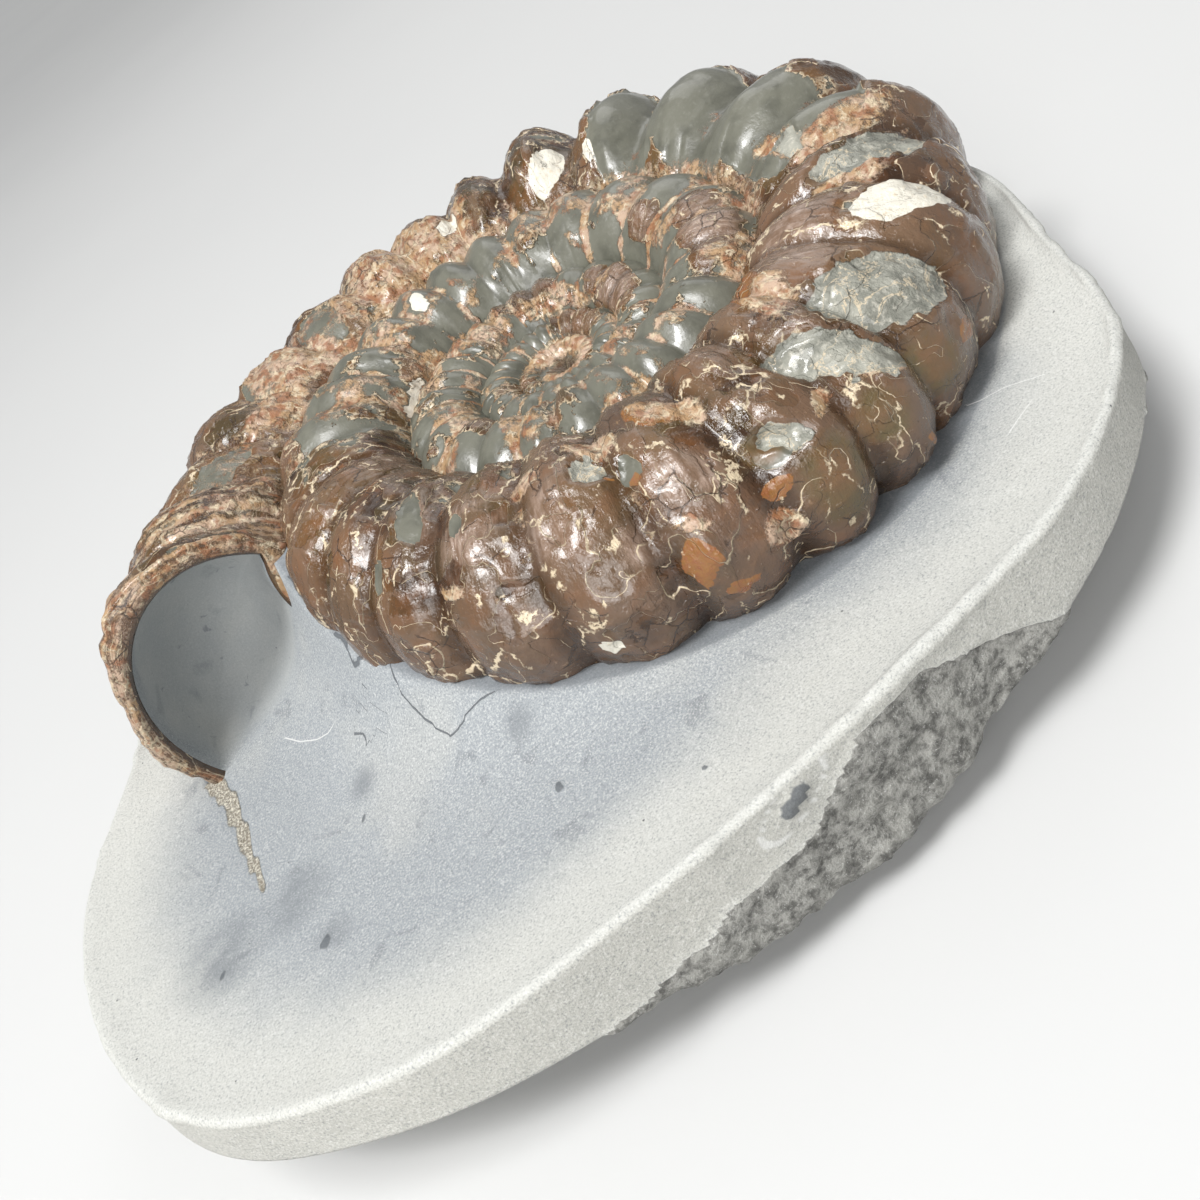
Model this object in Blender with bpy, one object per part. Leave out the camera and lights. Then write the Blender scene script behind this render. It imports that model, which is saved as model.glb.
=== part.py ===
"""A fossil ammonite standing half out of a block of grey limestone.

Two pieces: the coiled shell, whose last whorl ends in an open mouth with a standing lip, and the stone
that holds it, with a dished top, a sediment fill in the mouth and a convex underside with a flat spot.
Metres, +Z up. The flat spot lies on z = 0, and the origin is under the middle of the whole.
"""

import math

import bmesh
import bpy
import numpy as np
from mathutils import Vector

MM = 0.001

# The coil. Growth runs counter-clockwise seen from above, and the mouth is at its end.
COIL_X = 11.75 * MM
COIL_Y = 1.13 * MM
COIL_Z = 20.5 * MM
WHORL_EXPANSION = 1.85
WHORLS = 4
MOUTH_ANGLE = 184.7

# The tube along the last whorl, from one turn before the mouth: the radius of its middle line, its half width,
# its half height and how far its middle line lies below the plane of the coil.
TUBE_ANGLES = (-175.3, -90.0, 0.0, 90.0, 145.0, 184.7)
TUBE_RADIUS = (23.3 * MM, 26.5 * MM, 28.9 * MM, 32.9 * MM, 35.4 * MM, 38.8 * MM)
TUBE_HALF_WIDTH = (7.95 * MM, 9.7 * MM, 9.95 * MM, 10.4 * MM, 10.8 * MM, 11.75 * MM)
TUBE_HALF_HEIGHT = (8.35 * MM, 9.0 * MM, 9.7 * MM, 10.6 * MM, 11.7 * MM, 13.75 * MM)
TUBE_SINK = (0.3 * MM, 2.25 * MM, 3.15 * MM, 3.25 * MM, 3.9 * MM, 3.85 * MM)

# The seam where a whorl lies against the next one in, at the mouth. It shrinks with the coil.
SEAM_RADIUS = 29.3 * MM
SEAM_RISE = 4.35 * MM

# The ribs, with the wave in their spacing along the coil in degrees.
RIBS_PER_TURN = 24
STEPS_PER_RIB = 4
FIRST_RIB = -168.0
RIB_HEIGHT = 1.15 * MM
RIB_DRIFT_ONCE = 3.1
RIB_DRIFT_TWICE = 5.9
RIB_DRIFT_PHASE = 34.0

# Rows across a whorl down to the next seam, and on down the last whorl's side to its lowest row.
WHORL_ROWS = 6
SIDE_ROWS = 6
LOWEST_SECTION_ANGLE = -52.0
SEAM_FADE = 25.0

# The middle of the coil, the flat underside of the shell inside the stone, and the gap between the two pieces.
CENTRE_SINK = 0.6 * MM
SHELL_FLOOR = 5.7 * MM
GAP = 0.3 * MM

# The mouth: its wall, the cover it leaves on the whorl inside it, and in degrees of growth how deep it is cut.
# The sediment that fills it has a bowl hollowed out of its front.
LIP_WALL = 2.0 * MM
FLANK_COVER = 1.7 * MM
RECESS_DEPTH = 17.0
MOUTH_SIDES = 24
BOWL_DEPTH = 13.5
BOWL_STEPS = (1.0, 0.96, 0.83, 0.65, 0.42, 0.2, 0.0)
BOWL_HUB = (39.0 * MM, -1.5 * MM)
BURIED_HUB = (39.0 * MM, -11.0 * MM)
BOWL_FRONT = 2.0
SEDIMENT_FRONT = 1.2

# The block. Its outline is seen from above and from the coil's axis, and starts beside the lip.
OUTLINE = (
    (-56.5 * MM, 7.4 * MM),
    (-63.6 * MM, -12.1 * MM),
    (-62.3 * MM, -26.0 * MM),
    (-54.5 * MM, -41.0 * MM),
    (-40.0 * MM, -49.1 * MM),
    (-20.0 * MM, -50.8 * MM),
    (4.0 * MM, -48.6 * MM),
    (19.0 * MM, -45.1 * MM),
    (29.8 * MM, -36.6 * MM),
    (35.6 * MM, -22.0 * MM),
    (39.9 * MM, -8.0 * MM),
    (39.1 * MM, 6.0 * MM),
    (35.3 * MM, 22.0 * MM),
    (24.0 * MM, 41.5 * MM),
    (0.0 * MM, 48.1 * MM),
    (-26.0 * MM, 46.1 * MM),
    (-45.0 * MM, 36.0 * MM),
    (-53.9 * MM, 20.6 * MM),
)
BLOCK_SIDES = 66

# Its rim, which dips beside the lip, its ground side, which is highest in front, and its flat spot's share.
RIM_HEIGHT = 14.35 * MM
RIM_DIP = 1.8 * MM
RIM_DIP_ANGLE = 172.0
RIM_ROUND = 0.9 * MM
SIDE_HEIGHT = 4.5 * MM
SIDE_SWELL = 6.3 * MM
SIDE_SWELL_ANGLE = -97.0
SIDE_SWELL_WIDTH = 22.0
SIDE_SLOPE = 0.6 * MM
BASE_SHARE = 0.55

# The stone's top: where it meets the shell along the last whorl, over the coil's plane, and how deep its dish is
# below the rim. It comes up to the shell within a short reach.
CONTACT_ANGLES = (-175.3, -165.0, -150.0, -130.0, -110.0, -90.0, -70.0, -45.0, -20.0, 0.0, 60.0, 120.0, 184.7)
CONTACT_HEIGHTS = (
    4.1 * MM,
    0.1 * MM,
    -1.7 * MM,
    -4.1 * MM,
    -6.1 * MM,
    -7.5 * MM,
    -8.2 * MM,
    -7.8 * MM,
    -6.2 * MM,
    -4.4 * MM,
    -4.8 * MM,
    -5.6 * MM,
    -9.4 * MM,
)
CONTACT_REACH = 4.5 * MM
DISH_DEPTH = 1.2 * MM
DISH_EXTRA = 1.0 * MM
DISH_ANGLE = 205.0
BLOCK_REACH = 59.0 * MM
TOP_START = 26.0 * MM
TOP_ROWS = (0.0, 0.12, 0.24, 0.36, 0.5, 0.65, 0.8, 0.92)

SHELL_BROWN = (0.19, 0.115, 0.07)
STONE_GREY = (0.47, 0.48, 0.47)


def clear_scene():
    for obj in list(bpy.data.objects):
        bpy.data.objects.remove(obj, do_unlink=True)


def make_collection(name):
    collection = bpy.data.collections.new(name)
    bpy.context.scene.collection.children.link(collection)
    return collection


def make_material(name, color, roughness, metallic=0.0):
    material = bpy.data.materials.new(name)
    material.use_nodes = True
    shader = material.node_tree.nodes["Principled BSDF"]
    shader.inputs["Base Color"].default_value = (*color, 1.0)
    shader.inputs["Roughness"].default_value = roughness
    shader.inputs["Metallic"].default_value = metallic
    return material


def smooth_value(stations, values, at):
    """The value at one place on the smooth curve through the stations' values."""
    slopes = np.gradient(np.array(values), np.array(stations))
    i = int(np.clip(np.searchsorted(stations, at) - 1, 0, len(stations) - 2))
    span = stations[i + 1] - stations[i]
    t = (at - stations[i]) / span
    start = (2 * t**3 - 3 * t**2 + 1) * values[i] + (t**3 - 2 * t**2 + t) * span * slopes[i]
    end = (3 * t**2 - 2 * t**3) * values[i + 1] + (t**3 - t**2) * span * slopes[i + 1]
    return start + end


def coil_scale(growth):
    """The coil's size at this growth angle, against its size at the mouth."""
    return WHORL_EXPANSION ** ((growth - MOUTH_ANGLE) / 360.0)


def tube_at(growth):
    """Middle radius, half width, half height and middle height of the tube at this growth angle."""
    first = TUBE_ANGLES[0]
    sets = (TUBE_RADIUS, TUBE_HALF_WIDTH, TUBE_HALF_HEIGHT, TUBE_SINK)
    if growth <= first:
        ratio = coil_scale(growth) / coil_scale(first)
        radius, width, height, sink = (values[0] * ratio for values in sets)
    else:
        radius, width, height, sink = (smooth_value(TUBE_ANGLES, values, growth) for values in sets)
    return radius, width, height, -sink


def drifted(step_angle):
    """The growth angle of an evenly stepped one: ribs crowd on one side of the coil."""
    once = RIB_DRIFT_ONCE * math.sin(math.radians(step_angle))
    twice = RIB_DRIFT_TWICE * math.sin(math.radians(2 * step_angle - RIB_DRIFT_PHASE))
    return step_angle + once + twice


def last_step_angle():
    """The evenly stepped angle whose growth angle is the mouth's."""
    low = MOUTH_ANGLE - 20.0
    high = MOUTH_ANGLE + 20.0
    for _ in range(60):
        middle = (low + high) / 2
        if drifted(middle) < MOUTH_ANGLE:
            low = middle
        else:
            high = middle
    return (low + high) / 2


def rib_wave(step_angle):
    """1 on a rib's crest and -1 in the furrow between two ribs."""
    return math.cos(math.radians((step_angle - FIRST_RIB) * RIBS_PER_TURN))


def rib_strength(section_angle):
    """How strongly ribs stand out here: little at the inner seam, in full on the whorl's crest and outer side."""
    rise = np.clip((165.0 - section_angle) / 75.0, 0.0, 1.0)
    return 0.25 + 0.75 * rise * rise * (3 - 2 * rise)


def seam_at(growth):
    scale = coil_scale(growth)
    return SEAM_RADIUS * scale, SEAM_RISE * scale


def at_coil(angle, radius, height):
    """A point of the coil, from its angle in degrees, its radius and its height over the coil's plane."""
    turn = math.radians(angle)
    return (COIL_X + radius * math.cos(turn), COIL_Y + radius * math.sin(turn), COIL_Z + height)


def section_row(growth, step_angle, section_angle, grow):
    radius, width, height, middle = tube_at(growth)
    swell = RIB_HEIGHT * coil_scale(growth) * rib_wave(step_angle) * rib_strength(section_angle)
    turn = math.radians(section_angle)
    out = radius + (width + swell + grow) * math.cos(turn)
    up = middle + (height + swell + grow) * math.sin(turn)
    return out, up


def seam_section_angle(growth, seam_radius):
    """Where on the tube's section a seam of this radius lies, on its upper side."""
    radius, width, _, _ = tube_at(growth)
    return math.degrees(math.acos(np.clip((seam_radius - radius) / width, -0.98, 0.98)))


def outer_seam(growth, step_angle, grow):
    """Where a whorl's rows end: its section angle there, and how far the seam is off the plain tube.

    On the last whorl no further one follows, and its seam fades into the plain tube.
    """
    past = max(0.0, growth + 360.0 - MOUTH_ANGLE)
    at = growth - past
    seam_radius, seam_height = seam_at(at + 360.0)
    section_angle = seam_section_angle(at, seam_radius)
    out, up = section_row(at, step_angle - past, section_angle, grow)
    left = max(0.0, 1 - past / SEAM_FADE) ** 2
    return section_angle, (seam_radius - out) * left, (seam_height + grow - up) * left


def whorl_rows(growth, step_angle, grow):
    """(radius, height) of a whorl's rows, from its inner seam to just before its outer seam."""
    seam_radius, seam_height = seam_at(growth)
    start = seam_section_angle(growth, seam_radius)
    end, end_out, end_up = outer_seam(growth, step_angle, grow)
    first_out, first_up = section_row(growth, step_angle, start, grow)
    points = []
    for row in range(WHORL_ROWS):
        share = row / WHORL_ROWS
        left = (1 - share) ** 2
        out, up = section_row(growth, step_angle, start + (end - start) * share, grow)
        out += (seam_radius - first_out) * left + end_out * share**2
        up += (seam_height + grow - first_up) * left + end_up * share**2
        points.append((out, up))
    return points


def side_rows(growth, step_angle, grow):
    """(radius, height) of the last whorl's rows from its outer seam on, down to the shell's floor."""
    start, start_out, start_up = outer_seam(growth, step_angle, grow)
    points = []
    for row in range(SIDE_ROWS + 1):
        share = row / SIDE_ROWS
        left = (1 - share) ** 3
        out, up = section_row(growth, step_angle, start + (LOWEST_SECTION_ANGLE - start) * share, grow)
        points.append((out + start_out * left, up + start_up * left))
    points.append((tube_at(growth)[0], SHELL_FLOOR - grow - COIL_Z))
    return points


def close_section(mesh, outline):
    """Closes an end of the coil with a fan round the middle of its outline."""
    hub = mesh.verts.new(sum((vertex.co for vertex in outline), Vector()) / len(outline))
    for here, there in zip(outline, outline[1:] + outline[:1]):
        mesh.faces.new((hub, here, there))


def shell_mesh(name, grow):
    """The whole shell as one closed loft along the coil, its walls moved out by grow.

    Each whorl's outer seam is the next whorl's inner seam. The last whorl goes on down its side to a flat
    floor, and its two ends meet in the plane of the mouth.
    """
    mesh = bmesh.new()
    per_turn = RIBS_PER_TURN * STEPS_PER_RIB
    total = per_turn * WHORLS
    last_turn = total - per_turn
    end_step = last_step_angle()
    mouth_shift = math.degrees(grow / SEAM_RADIUS)
    rings = []
    for ring in range(total + 1):
        step_angle = end_step - (total - ring) * 360.0 / per_turn
        growth = drifted(step_angle)
        shift = mouth_shift if ring == total else 0.0
        points = whorl_rows(growth, step_angle, grow)
        verts = [mesh.verts.new(at_coil(growth + shift, out, up)) for out, up in points[ring == total :]]
        if ring == total:
            verts.insert(0, rings[last_turn][WHORL_ROWS])
        if ring >= last_turn:
            shift = mouth_shift if ring in (last_turn, total) else 0.0
            points = side_rows(growth, step_angle, grow)
            verts += [mesh.verts.new(at_coil(growth + shift, out, up)) for out, up in points]
        rings.append(verts)
    for ring in range(total):
        here, there = rings[ring], rings[ring + 1]
        if ring < last_turn:
            here = [*here[:WHORL_ROWS], rings[ring + per_turn][0]]
            there = [*there[:WHORL_ROWS], rings[ring + 1 + per_turn][0]]
        for row in range(len(here) - 1):
            mesh.faces.new((here[row], there[row], there[row + 1], here[row + 1]))

    centre = mesh.verts.new(at_coil(0.0, 0.0, grow - CENTRE_SINK))
    for ring in range(per_turn):
        mesh.faces.new((centre, rings[ring + 1][0], rings[ring][0]))
    close_section(mesh, [centre, *rings[0], rings[per_turn][0]])

    floor_centre = mesh.verts.new(at_coil(0.0, 0.0, SHELL_FLOOR - grow - COIL_Z))
    for ring in range(last_turn, total - 1):
        mesh.faces.new((floor_centre, rings[ring][-1], rings[ring + 1][-1]))
    mesh.faces.new((floor_centre, rings[total - 1][-1], rings[total][-1], rings[last_turn][-1]))
    close_section(mesh, [*rings[total], *reversed(rings[last_turn][WHORL_ROWS + 1 :])])
    return finished_object(name, mesh)


def finished_object(name, mesh):
    bmesh.ops.triangulate(mesh, faces=mesh.faces[:], quad_method="FIXED")
    bmesh.ops.recalc_face_normals(mesh, faces=mesh.faces[:])
    data = bpy.data.meshes.new(name)
    mesh.to_mesh(data)
    mesh.free()
    data.shade_smooth()
    return bpy.data.objects.new(name, data)


def outline_radius(angle):
    """The block's radius from the coil's axis at this angle, on a smooth curve through the outline."""
    points = np.array(OUTLINE)
    angles = np.degrees(np.arctan2(points[:, 1], points[:, 0])) % 360.0
    order = np.argsort(angles)
    stations = angles[order]
    radii = np.hypot(points[:, 0], points[:, 1])[order]
    stations = [*(stations - 360.0), *stations, *(stations + 360.0)]
    return smooth_value(stations, [*radii, *radii, *radii], angle % 360.0)


def last_growth(angle):
    """The growth angle of the outermost whorl at this angle."""
    return MOUTH_ANGLE - (MOUTH_ANGLE - angle) % 360.0


def rim_level(angle):
    """The rim's height over the coil's plane, lowest beside the lip."""
    facing = max(0.0, math.cos(math.radians(angle - RIM_DIP_ANGLE)))
    return RIM_HEIGHT - COIL_Z - RIM_DIP * facing**4


def stone_level(growth, radius, edge):
    """The stone's dished top beside the outermost whorl, coming up to where it meets the shell."""
    whorl_radius, whorl_width, _, _ = tube_at(growth)
    shell_edge = min(whorl_radius + whorl_width, edge - 2 * MM)
    share = np.clip((radius - shell_edge) / (edge - RIM_ROUND - shell_edge), 0.0, 1.0)
    facing = max(0.0, math.cos(math.radians(growth - DISH_ANGLE)))
    depth = (DISH_DEPTH + DISH_EXTRA * facing**2) * (1 - share**3)
    level = rim_level(growth) - depth
    contact = smooth_value(CONTACT_ANGLES, CONTACT_HEIGHTS, growth)
    away = max(0.0, radius - shell_edge)
    return level + (contact - level) * math.exp(-away / CONTACT_REACH) * (1 - share)


def in_mouth(growth, wall, cover, out, up):
    """Whether a point is inside the last whorl: the tube less its wall, clear of the whorl inside it."""
    radius, width, height, middle = tube_at(min(growth, MOUTH_ANGLE))
    inner_radius, inner_width, inner_height, inner_middle = tube_at(growth - 360.0)
    in_tube = math.hypot((out - radius) / (width - wall), (up - middle) / (height - wall)) < 1
    across = (out - inner_radius) / (inner_width + cover)
    on_flank = math.hypot(across, (up - inner_middle) / (inner_height + cover)) > 1
    return in_tube and on_flank and up > SHELL_FLOOR + wall - COIL_Z


def section_round(hub, inside):
    """(radius, height) where rays from the hub leave the inside."""
    points = []
    for side in range(MOUTH_SIDES):
        turn = 2 * math.pi * side / MOUTH_SIDES
        near, far = 0.0, 20 * MM
        for _ in range(30):
            reach = (near + far) / 2
            if inside(hub[0] + reach * math.cos(turn), hub[1] + reach * math.sin(turn)):
                near = reach
            else:
                far = reach
        points.append((hub[0] + near * math.cos(turn), hub[1] + near * math.sin(turn)))
    return points


def mouth_stone_level(out):
    return stone_level(MOUTH_ANGLE - 360.0, out, BLOCK_REACH)


def mouth_loft(name, sections):
    """A closed loft through (growth angle, points, hub), each end closed with a fan round its hub."""
    mesh = bmesh.new()
    rings = []
    for growth, points, _ in sections:
        rings.append([mesh.verts.new(at_coil(growth, out, up)) for out, up in points])
    for here, there in zip(rings, rings[1:]):
        for side in range(MOUTH_SIDES):
            mesh.faces.new((here[side - 1], here[side], there[side], there[side - 1]))
    for ring, (growth, _, hub) in ((rings[0], sections[0]), (rings[-1], sections[-1])):
        middle = mesh.verts.new(at_coil(growth, *hub))
        for side in range(MOUTH_SIDES):
            mesh.faces.new((middle, ring[side - 1], ring[side]))
    return finished_object(name, mesh)


def mouth_sections(start, end, wall, cover):
    sections = []
    for growth in np.linspace(MOUTH_ANGLE + start, MOUTH_ANGLE + end, 5):
        points = section_round(BOWL_HUB, lambda out, up: in_mouth(growth, wall, cover, out, up))
        sections.append((growth, points, BOWL_HUB))
    return sections


def recess_mesh(name):
    """The hollow cut into the shell's mouth, open to the front."""
    return mouth_loft(name, mouth_sections(-RECESS_DEPTH, 3.0, LIP_WALL, FLANK_COVER))


def sediment_mesh(name):
    """The fill of that hollow. In front of the mouth it dips under the stone's top, so that the two join."""
    wall = LIP_WALL + GAP
    cover = FLANK_COVER + GAP

    def buried(out, up):
        return in_mouth(MOUTH_ANGLE, wall, cover, out, up) and up < mouth_stone_level(out) - 0.5 * MM

    sections = mouth_sections(-RECESS_DEPTH + 0.6, 0.0, wall, cover)
    sections.append((MOUTH_ANGLE + SEDIMENT_FRONT, section_round(BURIED_HUB, buried), BURIED_HUB))
    return mouth_loft(name, sections)


def bowl_mesh(name):
    """The bowl in the sediment: round at the back, as wide as the mouth in front, level with the stone."""

    def open_mouth(out, up):
        over_stone = up > mouth_stone_level(out) + 0.1 * MM
        return over_stone and in_mouth(MOUTH_ANGLE, LIP_WALL, FLANK_COVER, out, up)

    outline = section_round(BOWL_HUB, open_mouth)
    sections = []
    for back in (*BOWL_STEPS, -BOWL_FRONT / BOWL_DEPTH):
        share = max(0.0, back)
        size = math.sqrt(1 - share**2) - 0.12 * share * (1 - share) + 0.03 * share
        points = []
        for out, up in outline:
            points.append((BOWL_HUB[0] + (out - BOWL_HUB[0]) * size, BOWL_HUB[1] + (up - BOWL_HUB[1]) * size))
        sections.append((MOUTH_ANGLE - BOWL_DEPTH * back, points, BOWL_HUB))
    return mouth_loft(name, sections)


def side_height(angle):
    """The ground side's height, greatest at the front left."""
    wrapped = (angle + 180.0) % 360.0 - 180.0
    return SIDE_HEIGHT + SIDE_SWELL * math.exp(-(((wrapped - SIDE_SWELL_ANGLE) / SIDE_SWELL_WIDTH) ** 2))


def block_column(angle):
    """(radius, height) from the middle of the block's top, over its rim and side, to its base."""
    edge = outline_radius(angle)
    points = []
    for share in TOP_ROWS:
        radius = TOP_START + (edge - RIM_ROUND - TOP_START) * share
        points.append((radius, stone_level(last_growth(angle), radius, edge)))
    rim = rim_level(angle)
    lower = rim - side_height(angle)
    points.append((edge - RIM_ROUND, rim))
    points.append((edge, rim - RIM_ROUND))
    points.append((edge + SIDE_SLOPE, lower))
    for share in (0.4, 0.75, 1.0):
        radius = edge + SIDE_SLOPE + (edge * BASE_SHARE - edge - SIDE_SLOPE) * share
        depth = math.sin(math.radians(90.0 * share))
        points.append((radius, lower - (lower + COIL_Z) * depth))
    return points


def block_mesh(name):
    mesh = bmesh.new()
    angles = [360.0 * side / BLOCK_SIDES for side in range(BLOCK_SIDES)]
    angles += [MOUTH_ANGLE - 0.1, MOUTH_ANGLE + 0.1]
    columns = []
    for angle in sorted(angles):
        columns.append([mesh.verts.new(at_coil(angle, out, up)) for out, up in block_column(angle)])
    top = mesh.verts.new(at_coil(0.0, 0.0, columns[0][0].co.z - COIL_Z))
    base = mesh.verts.new(at_coil(0.0, 0.0, -COIL_Z))
    for here, there in zip(columns, columns[1:] + columns[:1]):
        mesh.faces.new((top, here[0], there[0]))
        mesh.faces.new((base, there[-1], here[-1]))
        for row in range(len(here) - 1):
            mesh.faces.new((here[row], here[row + 1], there[row + 1], there[row]))
    return finished_object(name, mesh)


def combine(obj, operation, other):
    modifier = obj.modifiers.new(operation.title() + " " + other.name, "BOOLEAN")
    modifier.operation = operation
    modifier.solver = "EXACT"
    modifier.object = other


def as_cutter(obj, collection):
    collection.objects.link(obj)
    obj.hide_render = True
    obj.display_type = "WIRE"
    return obj


def make_ammonite(collection, cutters):
    """The shell: the whole coil with a recess cut into its mouth."""
    ammonite = shell_mesh("ammonite", 0.0)
    ammonite.data.materials.append(make_material("fossil_shell", SHELL_BROWN, 0.32))
    collection.objects.link(ammonite)
    combine(ammonite, "DIFFERENCE", as_cutter(recess_mesh("mouth_recess"), cutters))


def make_matrix(collection, cutters):
    """The stone: the block less the shell's bed, with the sediment in the mouth and the bowl in it."""
    matrix = block_mesh("matrix")
    matrix.data.materials.append(make_material("limestone", STONE_GREY, 0.85))
    collection.objects.link(matrix)
    combine(matrix, "DIFFERENCE", as_cutter(shell_mesh("shell_bed", GAP), cutters))
    combine(matrix, "UNION", as_cutter(sediment_mesh("mouth_sediment"), cutters))
    combine(matrix, "DIFFERENCE", as_cutter(bowl_mesh("mouth_bowl"), cutters))


def main():
    clear_scene()
    fossil = make_collection("fossil_ammonite")
    cutters = make_collection("cutters")
    make_ammonite(fossil, cutters)
    make_matrix(fossil, cutters)


main()
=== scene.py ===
"""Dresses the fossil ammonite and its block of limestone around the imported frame.

The shell is a fine grid wound along the coil, with its ribs, flaked shell, broken places and lip. The
stone is a fine grid round the coil's axis, with a dished top, a ground side and a rough natural
underside. Sizes in the working arrays are millimetres from the coil's middle, and each finished mesh is
in metres in the frame.
"""

import itertools
import math

import bmesh
import bpy
import numpy as np
from bpy.props import FloatProperty, FloatVectorProperty, PointerProperty
from mathutils import Matrix, Vector


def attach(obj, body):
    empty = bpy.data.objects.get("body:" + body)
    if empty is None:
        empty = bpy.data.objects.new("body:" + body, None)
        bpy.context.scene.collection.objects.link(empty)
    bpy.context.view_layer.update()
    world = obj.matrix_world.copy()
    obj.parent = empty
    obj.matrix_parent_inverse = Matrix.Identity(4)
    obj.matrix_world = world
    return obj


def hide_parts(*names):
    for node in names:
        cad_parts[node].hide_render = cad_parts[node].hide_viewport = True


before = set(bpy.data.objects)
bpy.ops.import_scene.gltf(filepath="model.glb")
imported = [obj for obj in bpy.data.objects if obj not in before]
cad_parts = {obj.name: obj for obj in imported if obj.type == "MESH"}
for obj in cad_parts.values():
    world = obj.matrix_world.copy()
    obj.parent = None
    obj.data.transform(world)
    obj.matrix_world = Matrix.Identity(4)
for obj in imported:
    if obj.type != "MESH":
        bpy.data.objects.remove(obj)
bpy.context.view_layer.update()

bl_info = {
    "name": "Fossil ammonite",
    "version": (1, 0, 0),
    "blender": (4, 5, 0),
    "location": "3D View > Sidebar > Fossil",
    "description": "Builds the fossil shell, its stone and the studio floor",
    "category": "Object",
}

MM = 0.001
COIL = np.array((11.75, 1.13, 20.5))

# The coil, as in the solids.
EXPANSION = 1.85
MOUTH = 184.7
START = MOUTH - 360.0
TUBE_ANGLES = (-175.3, -90.0, 0.0, 90.0, 145.0, 184.7)
TUBE_RADIUS = (23.3, 26.5, 28.9, 32.9, 35.4, 38.8)
TUBE_WIDTH = (7.95, 9.7, 9.95, 10.4, 10.8, 11.75)
TUBE_HEIGHT = (8.35, 9.0, 9.7, 10.6, 11.7, 13.75)
TUBE_SINK = (0.3, 2.25, 3.15, 3.25, 3.9, 3.85)
SEAM_RADIUS = 29.3
SEAM_RISE = 4.35
SEAM_FADE = 25.0
LOWEST_SECTION = -52.0
SHELL_FLOOR = 5.7 - COIL[2]
CENTRE_SINK = 0.6

# Growth angles of the rib crests on the last whorl. Further in, the ribs are evenly spaced but for a drift.
RIB_CRESTS = (
    -164, -150, -137, -122, -106, -92, -78, -67, -55, -41, -26, -10,
    10, 32, 50, 67, 81, 92, 104, 117, 131, 144, 157, 170, 184.5, 198,
)  # fmt: skip
RIB_SPACING = 15.0
RIB_DRIFT = (3.1, 5.9, 34.0)

# The grid along the coil: rings in each turn, and rows from seam to seam in each of its turns.
RINGS = 560
ROWS = (7, 7, 14, 28, 56)
SIDE_ROWS = 50
# Degrees of the section for each unit of the texture's second coordinate.
UV_SECTION = 15.0
# Faces that meet at more than this angle keep a hard edge between them.
SHARP_TURN = math.radians(78.0)

# The mouth.
LIP_WALL = 1.4
FLANK_COVER = 1.7
RECESS = 17.0
RECESS_RINGS = (1.5, 4.0, 8.0, 12.0, RECESS)
SEDIMENT_BACK = 16.4
# How far across the wall each ring of the lip lies, and how far forward of the mouth in degrees.
LIP_PROFILE = (
    (0.06, 0.30), (0.20, 0.62), (0.40, 0.85), (0.60, 0.88), (0.80, 0.70), (0.93, 0.35), (1.0, 0.0),
)  # fmt: skip
BOWL_DEPTH = 13.5
BOWL_HUB = (39.0, -1.5)
BOWL_SIDES = 120
BOWL_RINGS = 44

# The block, from the coil's axis.
OUTLINE = (
    (-56.5, 7.4), (-63.6, -12.1), (-62.3, -26.0), (-54.5, -41.0), (-40.0, -49.1), (-20.0, -50.8),
    (4.0, -48.6), (19.0, -45.1), (29.8, -36.6), (35.6, -22.0), (39.9, -8.0), (39.1, 6.0),
    (35.3, 22.0), (24.0, 41.5), (0.0, 48.1), (-26.0, 46.1), (-45.0, 36.0), (-53.9, 20.6),
)  # fmt: skip
RIM_LEVEL = 14.35 - COIL[2]
RIM_DIP = (1.8, 172.0)
RIM_ROUND = 0.6
SIDE_HEIGHT = (4.5, 6.3, -97.0, 22.0)
SIDE_SLOPE = 0.6
# The level below which the side is natural rind, at these angles.
RIND_ANGLES = (
    -175.0, -150.0, -128.0, -117.5, -115.1, -110.3, -107.5, -104.1, -100.4,
    -97.0, -93.2, -89.5, -82.3, -76.8, -73.3, -59.3, 60.0, 120.0,
)  # fmt: skip
RIND_LEVELS = (
    -12.8, -13.4, -14.6, -12.5, -13.4, -13.1, -11.6, -12.2, -11.6,
    -9.6, -7.3, -7.2, -9.4, -11.7, -12.9, -11.0, -11.2, -10.8,
)  # fmt: skip
BASE_SHARE = 0.55
# The height at which the stone meets the shell, at these angles.
CONTACT_ANGLES = (
    -175.3, -165.0, -150.0, -130.0, -110.0, -90.0, -70.0, -45.0, -20.0, 0.0, 60.0, 120.0, 184.7,
)  # fmt: skip
CONTACT_HEIGHTS = (4.1, 0.1, -1.7, -4.1, -6.1, -7.5, -8.2, -7.8, -6.2, -4.4, -4.8, -5.6, -9.4)
CONTACT_REACH = 4.5
DISH = (1.2, 1.0, 205.0)
# How far the low parts of the shell stay inside the edge, how much further out the high parts may go, and
# how soft that limit is.
RIM_MARGIN = 1.3
RIM_FREEDOM = 3.2
RIM_SOFT = 0.35
# How far the dished top stays hidden under the shell, and how near the shell may come to the edge there.
HIDDEN_REACH = 4.0
EDGE_MARGIN = 2.0

# The block's grid: columns, and rows of each part. The hidden rows are those of the top that lie inside
# the radius from which its first and last column are the same.
COLUMNS = 720
TOP_GRID_ROWS = 62
HIDDEN_ROWS = 40
SHARED_RADIUS = 47.3
RIM_GRID_ROWS = 6
SIDE_GRID_ROWS = 22
UNDER_GRID_ROWS = 26
FLAT_RINGS = (0.8, 0.55, 0.3)
STONE_CENTRE = -12.0

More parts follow.
